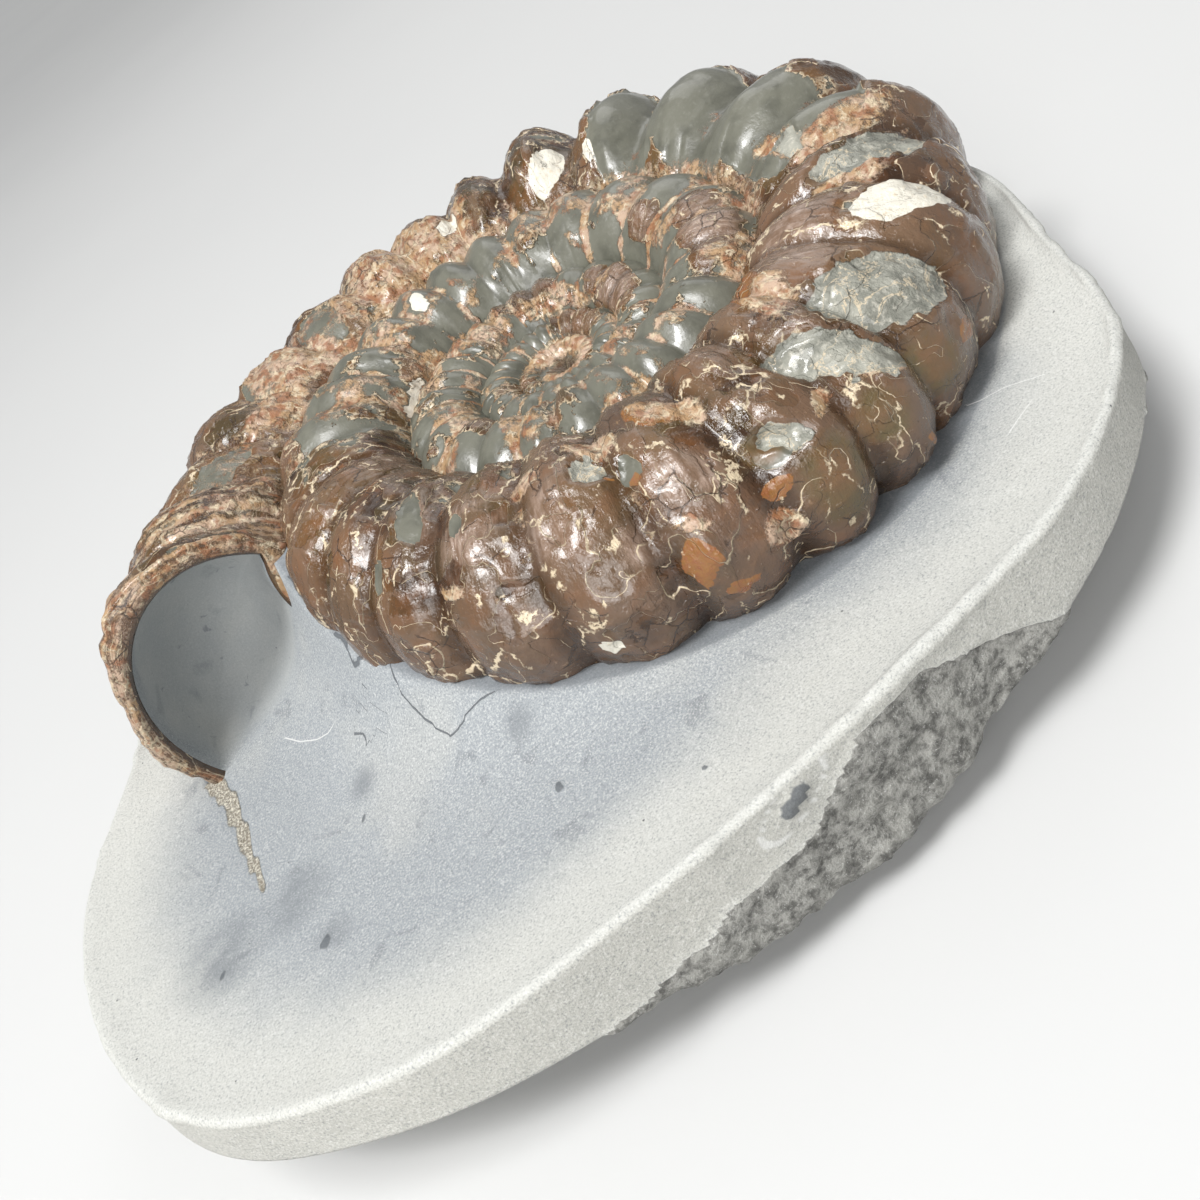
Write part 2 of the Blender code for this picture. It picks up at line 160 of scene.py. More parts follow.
# Named places on the shell. Each is an oval: its growth angle and section angle, and then how far its two
# half axes reach in those two angles. Growth angles below -175 lie on the inner whorls.
# Partly real white calcite and partly painted highlights on the ribs.
WHITE_CALCITE_AND_GLINTS = (
    (-40, 54, 3.0, -19.5, -4.5, -2.5), (63, 114, -2.5, 6.5, 3.2, 16.5), (52, 113, -1.2, 1.5, 0.0, 7.0),
    (88, 107, -1.0, 4.0, 1.8, 10.0), (-213, 154, -1.5, 4.0, 10.5, 4.0), (-249, 106, -1.0, 6.5, 2.5, 7.5),
    (-110, -8, 0.8, -2.5, -0.5, -4.0),
)  # fmt: skip
BROKEN_PLACES = (
    (-56, 47, 6.5, -25.5, -4.8, -9.5), (-68, 46, 4.8, -26.5, -2.5, -5.0),
    (-25, 63, 4.3, -31.0, -4.8, 1.0), (-80, 37, 2.5, -6.0, -1.0, -4.5), (-102, 78, 2.0, -4.5, -0.7, -6.5),
    (-9, 106, -4.5, -11.0, -5.3, 1.5),
)  # fmt: skip
BARE_MOULD = (
    (44, 106, -7.2, 9.0, -1.0, 50.0), (23, 103, -11.8, 7.5, -4.0, 44.0),
    (3, 100, -5.2, -24.0, -16.0, 12.0), (-10, 78, -0.5, -15.5, -7.5, 5.0),
    (-308, 84, -6.5, 9.0, -2.0, 22.0), (160, 104, -5.5, 11.0, 3.0, 6.0), (134, 89, -1.8, 13.0, 4.5, 14.5),
    (120, 100, -3.5, 8.0, 3.5, 19.0), (99, 86, -2.7, 7.5, 1.5, 13.0), (-136, 85, 2.5, -2.0, 1.0, -12.0),
    (-124, 74, 1.2, -2.0, -0.5, -5.0), (-140, 50, 1.2, 0.5, 0.0, -9.0), (-82, 36, 2.0, -6.5, -1.8, -6.5),
    (-328, 127, -7.5, 1.0, -0.5, 17.0), (-97, 66, 1.5, 0.0, 0.0, 8.0),
)  # fmt: skip
SHELL_LEFT = (
    (-42, 106, 2.0, -21.0, -13.8, -16.5), (-380, 79, -8.8, -31.5, -17.5, 4.5),
    (-346, 123, -11.8, -4.5, -3.5, 16.0), (-711, 115, 30.0, 0.0, 0.0, 40.0),
    (-1038, 110, 35.0, 0.0, 0.0, 60.0), (-51, 12, 2.8, -10.0, -6.5, -14.0),
    (-190, 60, 12.0, 0.0, 0.0, 14.0), (-505, 110, 10.0, 0.0, 0.0, 16.0), (-640, 90, 20.0, 0.0, 0.0, 30.0),
)  # fmt: skip
AMBER_SPOTS = (
    (-53, 3, 1.5, -5.5, -1.2, -3.5), (-96, 13, 1.5, -1.5, -0.8, -13.5), (-84, 20, 2.0, -0.5, 0.0, -4.5),
    (-66, -14, 0.8, -3.0, -0.2, -3.0), (-100, 71, 0.5, -1.5, 0.8, -4.0),
    (-60, 105, -1.5, -13.0, -6.0, -11.5), (-89, 84, 4.5, -11.0, -1.0, -7.0),
    (-97, 60, 0.9, 0.0, 0.0, 4.0), (-93, -8, 2.4, 0.0, 0.0, 4.0),
)  # fmt: skip
TAN_CRUST = (
    (-8, 106, -8.5, -8.5, -4.2, 5.0), (-15, 77, 2.0, -31.0, -3.5, 1.0), (-74, 36, 1.0, -3.5, -1.2, -4.0),
    (-126, 43, 2.8, -1.5, -0.2, -5.5), (-88, 84, 4.5, -12.5, -1.5, -9.0),
    (-94, 30, 1.8, -4.5, -0.8, -3.5), (-86, 4, 2.0, -7.0, -1.2, -8.0), (-66, 29, 2.5, -9.5, -1.2, -3.0),
    (-62, 91, -1.0, -15.5, -6.5, -11.0), (-100, 93, 4.8, -7.0, -0.2, -9.0),
    (-33, 80, 2.0, -18.0, -3.0, 2.0), (-112, 88, 4.0, 0.0, 0.0, 8.0),
)  # fmt: skip
# Painted sheen: places where a lilac highlight is painted into the colour of the rib crests.
PAINTED_LILAC_SHEEN = (
    (-110, 59, 2.5, -6.0, -2.8, -16.5), (-122, 69, 3.7, -6.0, -1.8, -17.5),
    (-92, 46, 3.5, -9.0, -1.8, -9.5), (-380, 79, -6.5, -25.0, -13.0, 2.5),
    (-346, 123, -9.2, -3.5, -3.2, 14.5), (-711, 115, 26.0, 0.0, 0.0, 29.0),
    (-47, 100, 1.0, -17.0, -7.8, -10.5), (144, 120, -8.0, 7.0, 4.5, 14.0),
    (-136, 90, 4.0, -3.0, 4.0, -16.0), (-100, 35, 2.2, -5.0, -1.2, -7.5),
)  # fmt: skip
SMOOTH_OLIVE = (
    (-78, 3, 3.2, -16.5, -3.2, -16.0), (-60, 5, 3.8, -14.0, -2.5, -11.0),
    (-83, 39, 2.2, -6.5, -1.5, -6.0), (-70, 13, 2.2, -8.5, -2.0, -8.5),
)  # fmt: skip
RING_MARK = ((-86, 1, 1.5, -5.0, -0.8, -5.0),)

# Marks on the stone, from the coil's axis. A line has its points and its half width at its start and end.
CALCITE_VEIN = (
    (
        (-49.6, -3.6), (-48.2, -8.2), (-47.9, -11.0), (-47.4, -13.6), (-47.3, -17.0), (-46.6, -20.6),
        (-46.2, -22.9),
    ),
    0.85,
    0.25,
)  # fmt: skip
DARK_CRACKS = (
    (
        (
            (-26.5, -13.8), (-27.0, -17.8), (-27.8, -20.3), (-27.3, -22.9), (-26.3, -25.6), (-23.8, -25.8),
            (-21.1, -26.8),
        ),
        0.07,
        0.05,
    ),
    (((-29.9, -10.8), (-29.4, -13.0), (-30.1, -14.1), (-29.3, -15.1), (-28.6, -15.6)), 0.16, 0.07),
    (((-30.8, -4.4), (-30.8, -6.6), (-30.2, -8.0), (-30.5, -9.2)), 0.09, 0.05),
    (((-34.0, -16.0), (-33.0, -17.1), (-33.3, -18.2)), 0.10, 0.05),
)  # fmt: skip
PALE_LINES = (
    (((-41.1, -6.4), (-39.6, -9.0), (-37.8, -11.1), (-36.4, -12.1), (-35.3, -12.2)), 0.07, 0.05),
    (((19.5, -36.2), (20.9, -35.6), (23.0, -34.8)), 0.07, 0.04),
    (((20.1, -30.0), (22.8, -31.5), (25.1, -33.7)), 0.05, 0.05),
    (((-30.5, -52.6), (-28.0, -54.0), (-25.5, -54.6)), 0.06, 0.04),
)
# How far off a line counts as when it is nowhere near, in half widths.
FAR_OFF = 60.0
# Round marks: where each is and its size.
DARK_SPOTS = (
    (-21.2, -36.3, 0.45), (-42.0, -33.3, 0.55), (-36.0, -24.0, 0.3), (-12.0, -44.0, 0.35),
    (-51.0, -29.0, 0.4),
)  # fmt: skip
BLUE_BLOTCHES = (
    (-41.4, -33.0, 2.0), (-35.1, -20.7, 1.7), (-21.1, -29.5, 1.5), (-50.7, -26.9, 4.5), (-43.7, -26.4, 3.5),
)  # fmt: skip
# The scar on the side: its angle, level, half height and half length.
SIDE_SCAR = (-100.0, -7.9, 1.15, 2.2)

# The stage, in metres and degrees. A soft light has its size and its place.
FLOOR_SIZE = 40.0
LIGHT_TARGET = (0.0, 0.0, 0.015)
KEY_LIGHT = (0.18, (-0.10, -0.12, 0.44))
FRONT_LIGHT = (0.25, (-0.20, -0.42, 0.26))
BACK_LIGHT = (0.30, (0.22, 0.32, 0.34))
EVEN_LIGHT_SPREAD = 16.0
EVEN_LIGHT_TURN = (16.0, -24.0, 0.0)
SKY_COLOUR = (0.96, 0.98, 1.0, 1.0)
SKY_STRENGTH = 0.28
CAMERA_TILT = 36.20
CAMERA_ROLL = 38.03
CAMERA_LENS = 37.5
CAMERA_SENSOR = 36.0
CAMERA_CLIP = 0.001
CAMERA_PLACE = (0.0010945, -0.101937, 0.072630)


def smooth_value(stations, values, at):
    """The values at these places on the smooth curve through the stations' values."""
    stations = np.asarray(stations, float)
    values = np.asarray(values, float)
    slopes = np.gradient(values, stations)
    i = np.clip(np.searchsorted(stations, at) - 1, 0, len(stations) - 2)
    span = stations[i + 1] - stations[i]
    t = (at - stations[i]) / span
    start = (2 * t**3 - 3 * t**2 + 1) * values[i] + (t**3 - 2 * t**2 + t) * span * slopes[i]
    return start + (3 * t**2 - 2 * t**3) * values[i + 1] + (t**3 - t**2) * span * slopes[i + 1]


def fade(value, low, high):
    """0 up to low, 1 from high on, and a soft step between them. Low may be the greater."""
    t = np.clip((value - low) / (high - low), 0.0, 1.0)
    return t * t * (3 - 2 * t)


def window(value, start, end, soft):
    """1 from start to end and 0 outside, with a soft step at each."""
    return fade(value, start - soft, start + soft) * fade(value, end + soft, end - soft)


def scatter(cells, seed):
    """A fixed number from 0 to 1 for each cell, from its three whole numbers."""
    whole = cells.astype(np.int64).astype(np.uint32)
    mixed = whole[..., 0] * np.uint32(374761393) + whole[..., 1] * np.uint32(668265263)
    mixed = mixed + whole[..., 2] * np.uint32(2246822519) + np.uint32(seed * 40503 + 977)
    mixed = (mixed ^ (mixed >> np.uint32(13))) * np.uint32(1274126177)
    mixed = (mixed ^ (mixed >> np.uint32(15))) * np.uint32(2654435761)
    return (mixed ^ (mixed >> np.uint32(16))).astype(float) / 4294967295.0


def lumps(points, size, seed, layers=1):
    """Soft noise from about -1 to 1 with lumps of this size, and finer layers over it."""
    total = 0.0
    whole = 0.0
    strength = 1.0
    for layer in range(layers):
        at = points / size + 17.3 * layer
        cell = np.floor(at)
        t = at - cell
        t = t**3 * (t * (t * 6 - 15) + 10)
        for corner in itertools.product((0, 1), repeat=3):
            weight = np.prod(np.where(corner, t, 1 - t), axis=-1)
            total = total + strength * weight * (2 * scatter(cell + corner, seed + layer) - 1)
        whole += strength
        size = size / 2.1
        strength *= 0.55
    return total / whole


def chips(points, size, seed):
    """For a pattern of cells of this size: how far the nearest border is, and the cell's own number."""
    at = points / size
    base = np.floor(at)
    nearest = np.full(at.shape[:-1], 9.0)
    second = nearest.copy()
    own = np.zeros(at.shape[:-1])
    for step in itertools.product((-1, 0, 1), repeat=3):
        cell = base + step
        centre = cell + np.stack([scatter(cell, seed + k) for k in range(3)], axis=-1)
        far = np.linalg.norm(centre - at, axis=-1)
        closer = far < nearest
        second = np.where(closer, nearest, np.minimum(second, far))
        own = np.where(closer, scatter(cell, seed + 3), own)
        nearest = np.minimum(nearest, far)
    return (second - nearest) * size, own


def coil_scale(growth):
    """The coil's size at this growth angle, as a share of its size at the mouth."""
    return EXPANSION ** ((growth - MOUTH) / 360.0)


def tube_at(growth):
    """Middle radius, half width, half height and middle height of the tube."""
    ratio = np.where(growth < START, coil_scale(growth) / coil_scale(START), 1.0)
    at = np.maximum(growth, START)
    sets = (TUBE_RADIUS, TUBE_WIDTH, TUBE_HEIGHT, TUBE_SINK)
    radius, width, height, sink = (smooth_value(TUBE_ANGLES, values, at) * ratio for values in sets)
    return radius, width, height, -sink


def even_step(growth):
    """The growth angle with the drift of the inner ribs taken out of it."""
    once, twice, phase = RIB_DRIFT
    wave = once * np.sin(np.radians(growth)) + twice * np.sin(np.radians(2 * growth - phase))
    return growth - wave


def ribs_passed(growth):
    """A count of ribs that is a whole number on each crest."""
    first = float(RIB_CRESTS[0])
    inner = (even_step(growth) - even_step(first)) / RIB_SPACING
    outer = smooth_value(RIB_CRESTS, range(len(RIB_CRESTS)), np.maximum(growth, first))
    return np.where(growth < first, inner, outer)


def rib_arch(growth):
    """1 on a rib's round crest and -1 in the furrow between two ribs, which is soft on the near side."""
    sharpness = 0.85 + 0.65 * window(growth, START, -66.0, 8.0) + 0.5 * window(growth, -20.0, 80.0, 8.0)
    sharpness = sharpness + 0.2 * fade(growth, START, START - 20.0)
    return 2 * (np.abs(np.cos(math.pi * ribs_passed(growth))) ** sharpness) - 1


def rib_swell(growth):
    """The arch with each rib a little higher or lower than the next, and strong ribs on the far side."""
    number = np.round(ribs_passed(growth))
    own = scatter(np.stack([number, 0 * number, 0 * number], axis=-1), 7)
    size = 0.75 + 0.45 * own + 0.85 * window(growth, -16, 78, 8) + 0.4 * fade(growth, START, START - 20)
    size = size - 0.25 * window(growth, START, -66, 8)
    return size * (rib_arch(growth) + 1) - 1


def rib_strength(section):
    """How strong the ribs are across the tube: weak beside the next whorl in, and full on the flank."""
    return 0.25 + 0.75 * fade(section, 165.0, 90.0)


def seam_at(growth):
    """The seam against the next whorl in, which rides up and down over that whorl's ribs."""
    scale = coil_scale(growth)
    wave = 0.3 * rib_arch(growth - 360.0) * fade(growth, MOUTH, MOUTH - 12.0)
    return (SEAM_RADIUS + wave) * scale, (SEAM_RISE + wave) * scale


def seam_section(growth, radius):
    """Where on the tube's section a seam of this radius lies, on its upper side."""
    middle, width, _, _ = tube_at(growth)
    return np.degrees(np.arccos(np.clip((radius - middle) / width, -0.98, 0.98)))


def section_point(growth, section, relief, rib_height):
    """(radius, height) on the tube, with its ribs and its relief over them."""
    radius, width, height, middle = tube_at(growth)
    swell = rib_height * coil_scale(growth) * rib_swell(growth) * rib_strength(section) + relief
    turn = np.radians(section)
    return radius + (width + swell) * np.cos(turn), middle + (height + swell) * np.sin(turn)


def in_space(growth, radius, height):
    """Points from the coil's middle, from angle in degrees, radius and height."""
    turn = np.radians(growth)
    return np.stack([radius * np.cos(turn), radius * np.sin(turn), height + 0 * turn], axis=-1)


def places(growth, section, spots, edge=0.35):
    """1 inside the named places, 0 well outside them, and a soft slope at their edge."""
    total = np.zeros(np.broadcast(growth, section).shape)
    for spot in spots:
        total = np.maximum(total, fade(oval_reach(growth, section, spot), 1 + edge, 1 - edge))
    return total


def oval_reach(growth, section, spot):
    """How far out each place is from an oval's middle: 1 on its edge."""
    at, across, first_g, first_s, second_g, second_s = spot
    turned = np.linalg.inv(np.array([[first_g, second_g], [first_s, second_s]]))
    off_g, off_s = growth - at, section - across
    along, aside = (row[0] * off_g + row[1] * off_s for row in turned)
    return np.hypot(along, aside)


def shell_finish(growth, section, points):
    """What covers the shell at each place, and where shade and sheen are painted on it, as shares from 0 to
    1, and the relief that it gives.
    """
    scale = coil_scale(growth)
    wobble = lumps(points, 2.6, 11, 3)
    g = growth + 1.3 * lumps(points, 2.6, 31, 3)
    s = section + 5.0 * lumps(points, 2.6, 41, 3)
    last = fade(growth, START - 30, START + 5)
    side = fade(section, 70, 20)
    upper_left = window(growth, 74, 200, 6)
    far_side = window(growth, -22, 74, 6)
    furrow = fade(rib_arch(growth), -0.1, -0.95)

    along_ribs = np.stack([ribs_passed(growth) * 2.1, section / 34.0, growth / 200.0], axis=-1)
    flap = lumps(along_ribs + 0.12 * wobble[..., None], 1.0, 401, 3) + 0.15 * wobble
    second_flap = lumps(along_ribs * 1.7 + 9.0, 1.0, 411, 3) + 0.12 * wobble

    cover = 0.76 * last + 0.34 * (1 - last) - 0.10 * far_side * (1 - side)
    cover = cover + 0.34 * lumps(points, 5.5, 5, 2) * (0.6 + 0.4 * (1 - last)) + 0.16 * wobble
    cover = cover + 0.25 * side * last + 0.25 * second_flap
    cover = cover - 0.95 * places(g, s, BARE_MOULD) + 0.6 * places(g, s, SHELL_LEFT)
    rough_g = growth + 1.5 * lumps(points, 1.7, 35, 3)
    rough_s = section + 7.0 * lumps(points, 1.7, 45, 3)
    broken = places(rough_g, rough_s, BROKEN_PLACES, 0.12)
    # Partly real white calcite and partly painted highlights.
    calcite_and_glint = places(g, s, WHITE_CALCITE_AND_GLINTS, 0.15)
    amber = places(g, s, AMBER_SPOTS, 0.3)
    olive = places(g, s, SMOOTH_OLIVE, 0.3)
    # Painted sheen: a lilac highlight on some rib crests.
    painted_sheen = places(g, s, PAINTED_LILAC_SHEEN, 0.5)
    left_crust = 0.85 * upper_left * (1 - 0.7 * fade(growth, 140, 175))
    crust = 0.85 * places(g, s, TAN_CRUST, 0.4)
    crust = crust + left_crust * fade(lumps(points, 6.0, 51, 3), -0.45, 0.15)
    crust = crust + 0.75 * (1 - last) * fade(lumps(points, 3.6, 61, 3) + 0.25 * furrow, -0.15, 0.25)
    crust = crust + 0.6 * furrow * fade(lumps(points, 2.6, 71, 3), -0.15, 0.4) * fade(section, 0, 50)
    crust = crust + 0.7 * far_side * fade(section, 122, 136)
    crust = crust + 0.9 * (1 - last) * fade(growth, -1240, -1330)
    bands = np.sin(2 * math.pi * (ribs_passed(growth) * 5 + 0.5 * lumps(points, 6.0, 55, 2)))
    crust = crust + fade(growth, 158, 176) * (0.3 + 0.45 * fade(bands, -0.3, 0.7))
    rim_of_break = places(rough_g, rough_s, BROKEN_PLACES, 0.30) * (1 - broken)
    crust = np.clip(crust + 0.9 * fade(rim_of_break, 0.3, 0.8), 0, 1) * (1 - calcite_and_glint)

    _, chip = chips(points + 0.6 * np.stack([wobble] * 3, -1), 4.2, 81)
    layer = fade(cover, 0.46, 0.54)
    second_layer = fade(cover + 0.5 * (chip - 0.5), 0.78, 0.86)
    lines = np.sin(2 * math.pi * (ribs_passed(growth) * 6 + 0.9 * lumps(points, 5.0, 21, 2)))
    ring = oval_reach(growth, section, RING_MARK[0])
    smooth = 1 - 0.75 * olive

    relief = 0.30 * layer + 0.14 * second_layer * layer + 0.05 * lines * layer * smooth
    flaps = 0.26 * fade(flap, -0.03, 0.05) + 0.14 * fade(second_flap, -0.02, 0.04)
    relief = relief + flaps * layer * last * smooth
    relief = relief - 0.55 * broken * fade(section, 20, 40) - 0.35 * broken
    relief = relief + broken * (0.25 * lumps(points, 1.6, 101, 3) + 0.3 * lumps(points, 5.0, 105, 2))
    relief = relief + 0.20 * fade(amber, 0.35, 0.65)
    relief = relief + crust * (0.14 + 0.34 * lumps(points, 1.2, 111, 3)) * (1 - 0.6 * broken)
    uneven = 0.6 * lumps(points, 7.5, 121, 2) * last * (1 - 0.7 * far_side)
    uneven = uneven + 0.15 * lumps(points, 3.0, 125, 2)
    relief = relief + uneven * fade(section, 175, 120)
    relief = relief + 0.11 * lumps(points, 1.5, 131, 2) * smooth * (1 - 0.7 * (1 - layer))
    relief = relief + 0.40 * window(ring, 0.75, 1.2, 0.2) - 0.45 * fade(ring, 0.85, 0.55)
    relief = relief - 0.22 * furrow * last - 0.8
    past_furrow = (ribs_passed(growth) + 0.5) % 1.0
    front = window(growth, START, -60.0, 8.0) * fade(section, 150, 110)
    relief = relief + 0.40 * front * (fade(past_furrow, 0.0, 0.06) * (1 - past_furrow) - 0.3)
    near_mouth = fade(growth, 158.0, MOUTH)
    relief = relief + near_mouth * (-0.15 * window(section, 55, 150, 18) - 0.9 * fade(section, 70, 35))
    shares = {
        "cover": np.clip(cover, 0, 1.4),
        "broken": broken,
        "calcite_and_glint": calcite_and_glint,
        "amber": amber,
        "olive": olive,
        # Painted sheen on the crests.
        "painted_sheen": painted_sheen,
        "crust": crust,
        # The furrow share also darkens the colour in the furrows as painted shade.
        "furrow": furrow,
        "flap": flap,
        "second_flap": second_flap,
        # Painted shade on the low outer flank, which turns under towards the stone.
        "painted_flank_shade": side * last,
    }
    return relief * (0.35 + 0.65 * scale), shares


def within_rim(growth, out, up):
    """The radius held inside the block's edge, softly, for the parts of the shell that are low down."""
    above = up - rim_level(growth)
    limit = outline_radius(growth) - RIM_MARGIN + RIM_FREEDOM * fade(above, -0.3, 4.0)
    return limit - RIM_SOFT * np.logaddexp(0.0, (limit - out) / RIM_SOFT)


def mesh_object(name, points, faces, shares, uv=None):
    """A smooth mesh object in the frame, from points in millimetres, with its shares as attributes."""
    data = bpy.data.meshes.new(name)
    data.from_pydata(((points + COIL) * MM).tolist(), [], faces)
    for title, values in shares.items():
        attribute = data.attributes.new(title, "FLOAT", "POINT")
        attribute.data.foreach_set("value", np.asarray(values, np.float32).ravel())
    if uv is not None:
        layer = data.uv_layers.new(name="along_whorl")
        corner = np.zeros(len(data.loops), np.int32)
        data.loops.foreach_get("vertex_index", corner)
        layer.data.foreach_set("uv", uv[corner].astype(np.float32).ravel())
    mesh = bmesh.new()
    mesh.from_mesh(data)
    bmesh.ops.remove_doubles(mesh, verts=mesh.verts[:], dist=0.002 * MM)
    loose = [vertex for vertex in mesh.verts if not vertex.link_faces]
    bmesh.ops.delete(mesh, geom=loose, context="VERTS")
    bmesh.ops.recalc_face_normals(mesh, faces=mesh.faces[:])
    for edge in mesh.edges:
        edge.smooth = not edge.is_manifold or edge.calc_face_angle() < SHARP_TURN
    mesh.to_mesh(data)
    mesh.free()
    data.shade_smooth()
    obj = bpy.data.objects.new(name, data)
    bpy.context.scene.collection.objects.link(obj)
    return obj


def in_mouth(growth, wall, cover, out, up):
    """Whether each point is inside the last whorl: the tube less its wall, clear of the whorl inside it."""
    radius, width, height, middle = tube_at(np.minimum(growth, MOUTH))
    inner_radius, inner_width, inner_height, inner_middle = tube_at(growth - 360.0)
    in_tube = np.hypot((out - radius) / (width - wall), (up - middle) / (height - wall)) < 1
    across = (out - inner_radius) / (inner_width + cover)
    on_flank = np.hypot(across, (up - inner_middle) / (inner_height + cover)) > 1
    return in_tube & on_flank & (up > SHELL_FLOOR + wall)


def ray_ends(angles, inside):
    """(radius, height) where rays from the mouth's hub leave the inside, and their reach."""
    near = np.zeros(len(angles))
    far = np.full(len(angles), 20.0)
    for _ in range(32):
        reach = (near + far) / 2
        is_in = inside(BOWL_HUB[0] + reach * np.cos(angles), BOWL_HUB[1] + reach * np.sin(angles))
        near = np.where(is_in, reach, near)
        far = np.where(is_in, far, reach)
    return BOWL_HUB[0] + near * np.cos(angles), BOWL_HUB[1] + near * np.sin(angles)


def coil_rows(growth, rows):
    """Growth angles, section angles and shares of a stretch of coil, and the seams at both its sides."""
    share = np.linspace(0, 1, rows + 1)[None, :]
    g = growth[:, None]
    seam_radius, seam_height = seam_at(g)
    start = seam_section(g, seam_radius)
    at = np.minimum(g, START)
    next_radius, next_height = seam_at(at + 360.0)
    end = seam_section(at, next_radius)
    section = start + (end - start) * share
    return g + 0 * share, section, share, (seam_radius, seam_height), (end, next_radius, next_height)


def ammonite_mesh(sizes):
    """The whole shell as one closed mesh: its coil, its lip and the recess behind it."""
    rib_height = sizes.rib_height / MM
    grids = []
    for turn, rows in enumerate(ROWS):
        is_last = turn == len(ROWS) - 1
        from_growth = MOUTH - 360.0 * (len(ROWS) - turn)
        rings = np.arange(RINGS + 1 if is_last else RINGS)
        growth = from_growth + 360.0 * rings / RINGS
        g, section, share, seam, (end, next_radius, next_height) = coil_rows(growth, rows)
        if is_last:
            below = np.linspace(0, 1, SIDE_ROWS + 1)[None, 1:]
            section = np.concatenate([section, end + (LOWEST_SECTION - end) * below], axis=1)
            g = growth[:, None] + 0 * section
        plain_out, plain_up = section_point(g, section, 0.0, rib_height)
        relief, shares = shell_finish(g, section, in_space(g, plain_out, plain_up))
        out, up = section_point(g, section, relief, rib_height)
        left = (1 - share) ** 2
        shift_out = (seam[0] - out[:, :1]) * left
        shift_up = (seam[1] - up[:, :1]) * left
        end_out, end_up = out[:, rows : rows + 1], up[:, rows : rows + 1]
        if is_last:
            end_out, end_up = end_out[:1], end_up[:1]
            keep = (1 - np.clip((growth[:, None] - START) / SEAM_FADE, 0, 1)) ** 2
            next_radius, next_height = next_radius[:1], next_height[:1]
        else:
            keep = 1.0
        off_out = (next_radius - end_out) * keep
        off_up = (next_height - end_up) * keep
        grow = share**2
        if is_last:
            none_below = np.zeros((len(growth), SIDE_ROWS))
            shift_out = np.concatenate([shift_out, none_below], axis=1)
            shift_up = np.concatenate([shift_up, none_below], axis=1)
            grow = np.concatenate([grow, (1 - below) ** 3], axis=1)
        out = out + shift_out + off_out * grow
        up = up + shift_up + off_up * grow
        if is_last:
            out = within_rim(g, out, up)
            floor_out = tube_at(growth)[0][:, None]
            out = np.concatenate([out, floor_out], axis=1)
            up = np.concatenate([up, 0 * floor_out + SHELL_FLOOR], axis=1)
            g = np.concatenate([g, growth[:, None]], axis=1)
            section = np.concatenate([section, 0 * floor_out - 90.0], axis=1)
            shares = {title: np.concatenate([v, v[:, -1:]], axis=1) for title, v in shares.items()}
        uv = np.stack([ribs_passed(g), section / UV_SECTION], axis=-1)
        grids.append((in_space(g, out, up), shares, uv))

    titles = list(grids[0][1])
    points = [grid[0].reshape(-1, 3) for grid in grids]
    shares = {title: [np.ravel(grid[1][title]) for grid in grids] for title in titles}
    uvs = [grid[2].reshape(-1, 2) for grid in grids]
    bases = np.cumsum([0, *(len(p) for p in points)])
    ids = [bases[i] + np.arange(len(points[i])).reshape(grid[0].shape[:2]) for i, grid in enumerate(grids)]
    faces = []
    for turn, grid in enumerate(ids):
        faces += quads(grid)
        if turn + 1 < len(ids):
            here, there = grid[-1], ids[turn + 1][0]
            step = ROWS[turn + 1] // ROWS[turn]
            for row in range(ROWS[turn]):
                across = there[row * step : (row + 1) * step + 1]
                faces.append([here[row], *across, here[row + 1]])

    extra = []

    def add(new_points):
        first = bases[-1] + len(extra)
        extra.extend(new_points)
        return np.arange(first, first + len(new_points))

    centre = add([(0.0, 0.0, -CENTRE_SINK)])[0]
    inner = [*ids[0][:, 0], ids[1][0, 0]]
    faces += [(centre, there, here) for here, there in zip(inner, inner[1:])]
    faces += [(centre, here, there) for here, there in zip(ids[0][0], ids[0][0][1:])]

    last = ids[-1]
    floor_centre = add([(0.0, 0.0, SHELL_FLOOR)])[0]
    foot = last[:, -1]
    faces += [(floor_centre, here, there) for here, there in zip(foot, foot[1:])]
    faces.append((floor_centre, foot[-1], foot[0]))

    # The lip goes round the mouth's outer edge, over the wall and back into the recess.
    loop = [*last[-1], *last[0][:: -1][: SIDE_ROWS + 1]]
    loop_points = np.concatenate(points)[loop]
    out = np.hypot(loop_points[:, 0], loop_points[:, 1])
    up = loop_points[:, 2]
    angles = np.arctan2(up - BOWL_HUB[1], out - BOWL_HUB[0])
    inner_out, inner_up = ray_ends(angles, lambda o, h: in_mouth(MOUTH, LIP_WALL, FLANK_COVER, o, h))
    rings = [np.array(loop)]
    section = np.degrees(np.arctan2(up - tube_at(MOUTH)[3], out - tube_at(MOUTH)[0]))
    lip_shares = {title: [] for title in titles}
    lip_uv = []
    for across, forward in LIP_PROFILE:
        ring_out = out + (inner_out - out) * across
        ring_up = up + (inner_up - up) * across
        edge = in_space(MOUTH + forward, ring_out, ring_up)
        g = MOUTH + 9.0 * across + 0 * section
        _, found = shell_finish(g, section, edge)
        ragged = 0.28 * lumps(edge, 2.2, 141, 3) + 0.22 * lumps(edge, 7.0, 145, 2)
        ragged = ragged * math.sin(math.pi * across)
        rings.append(add(in_space(MOUTH + forward + ragged, ring_out, ring_up)))
        found["cover"] = np.full(len(loop), 0.95)
        found["crust"] = np.clip(0.35 + 0.5 * found["crust"], 0, 1) * (across < 0.9)
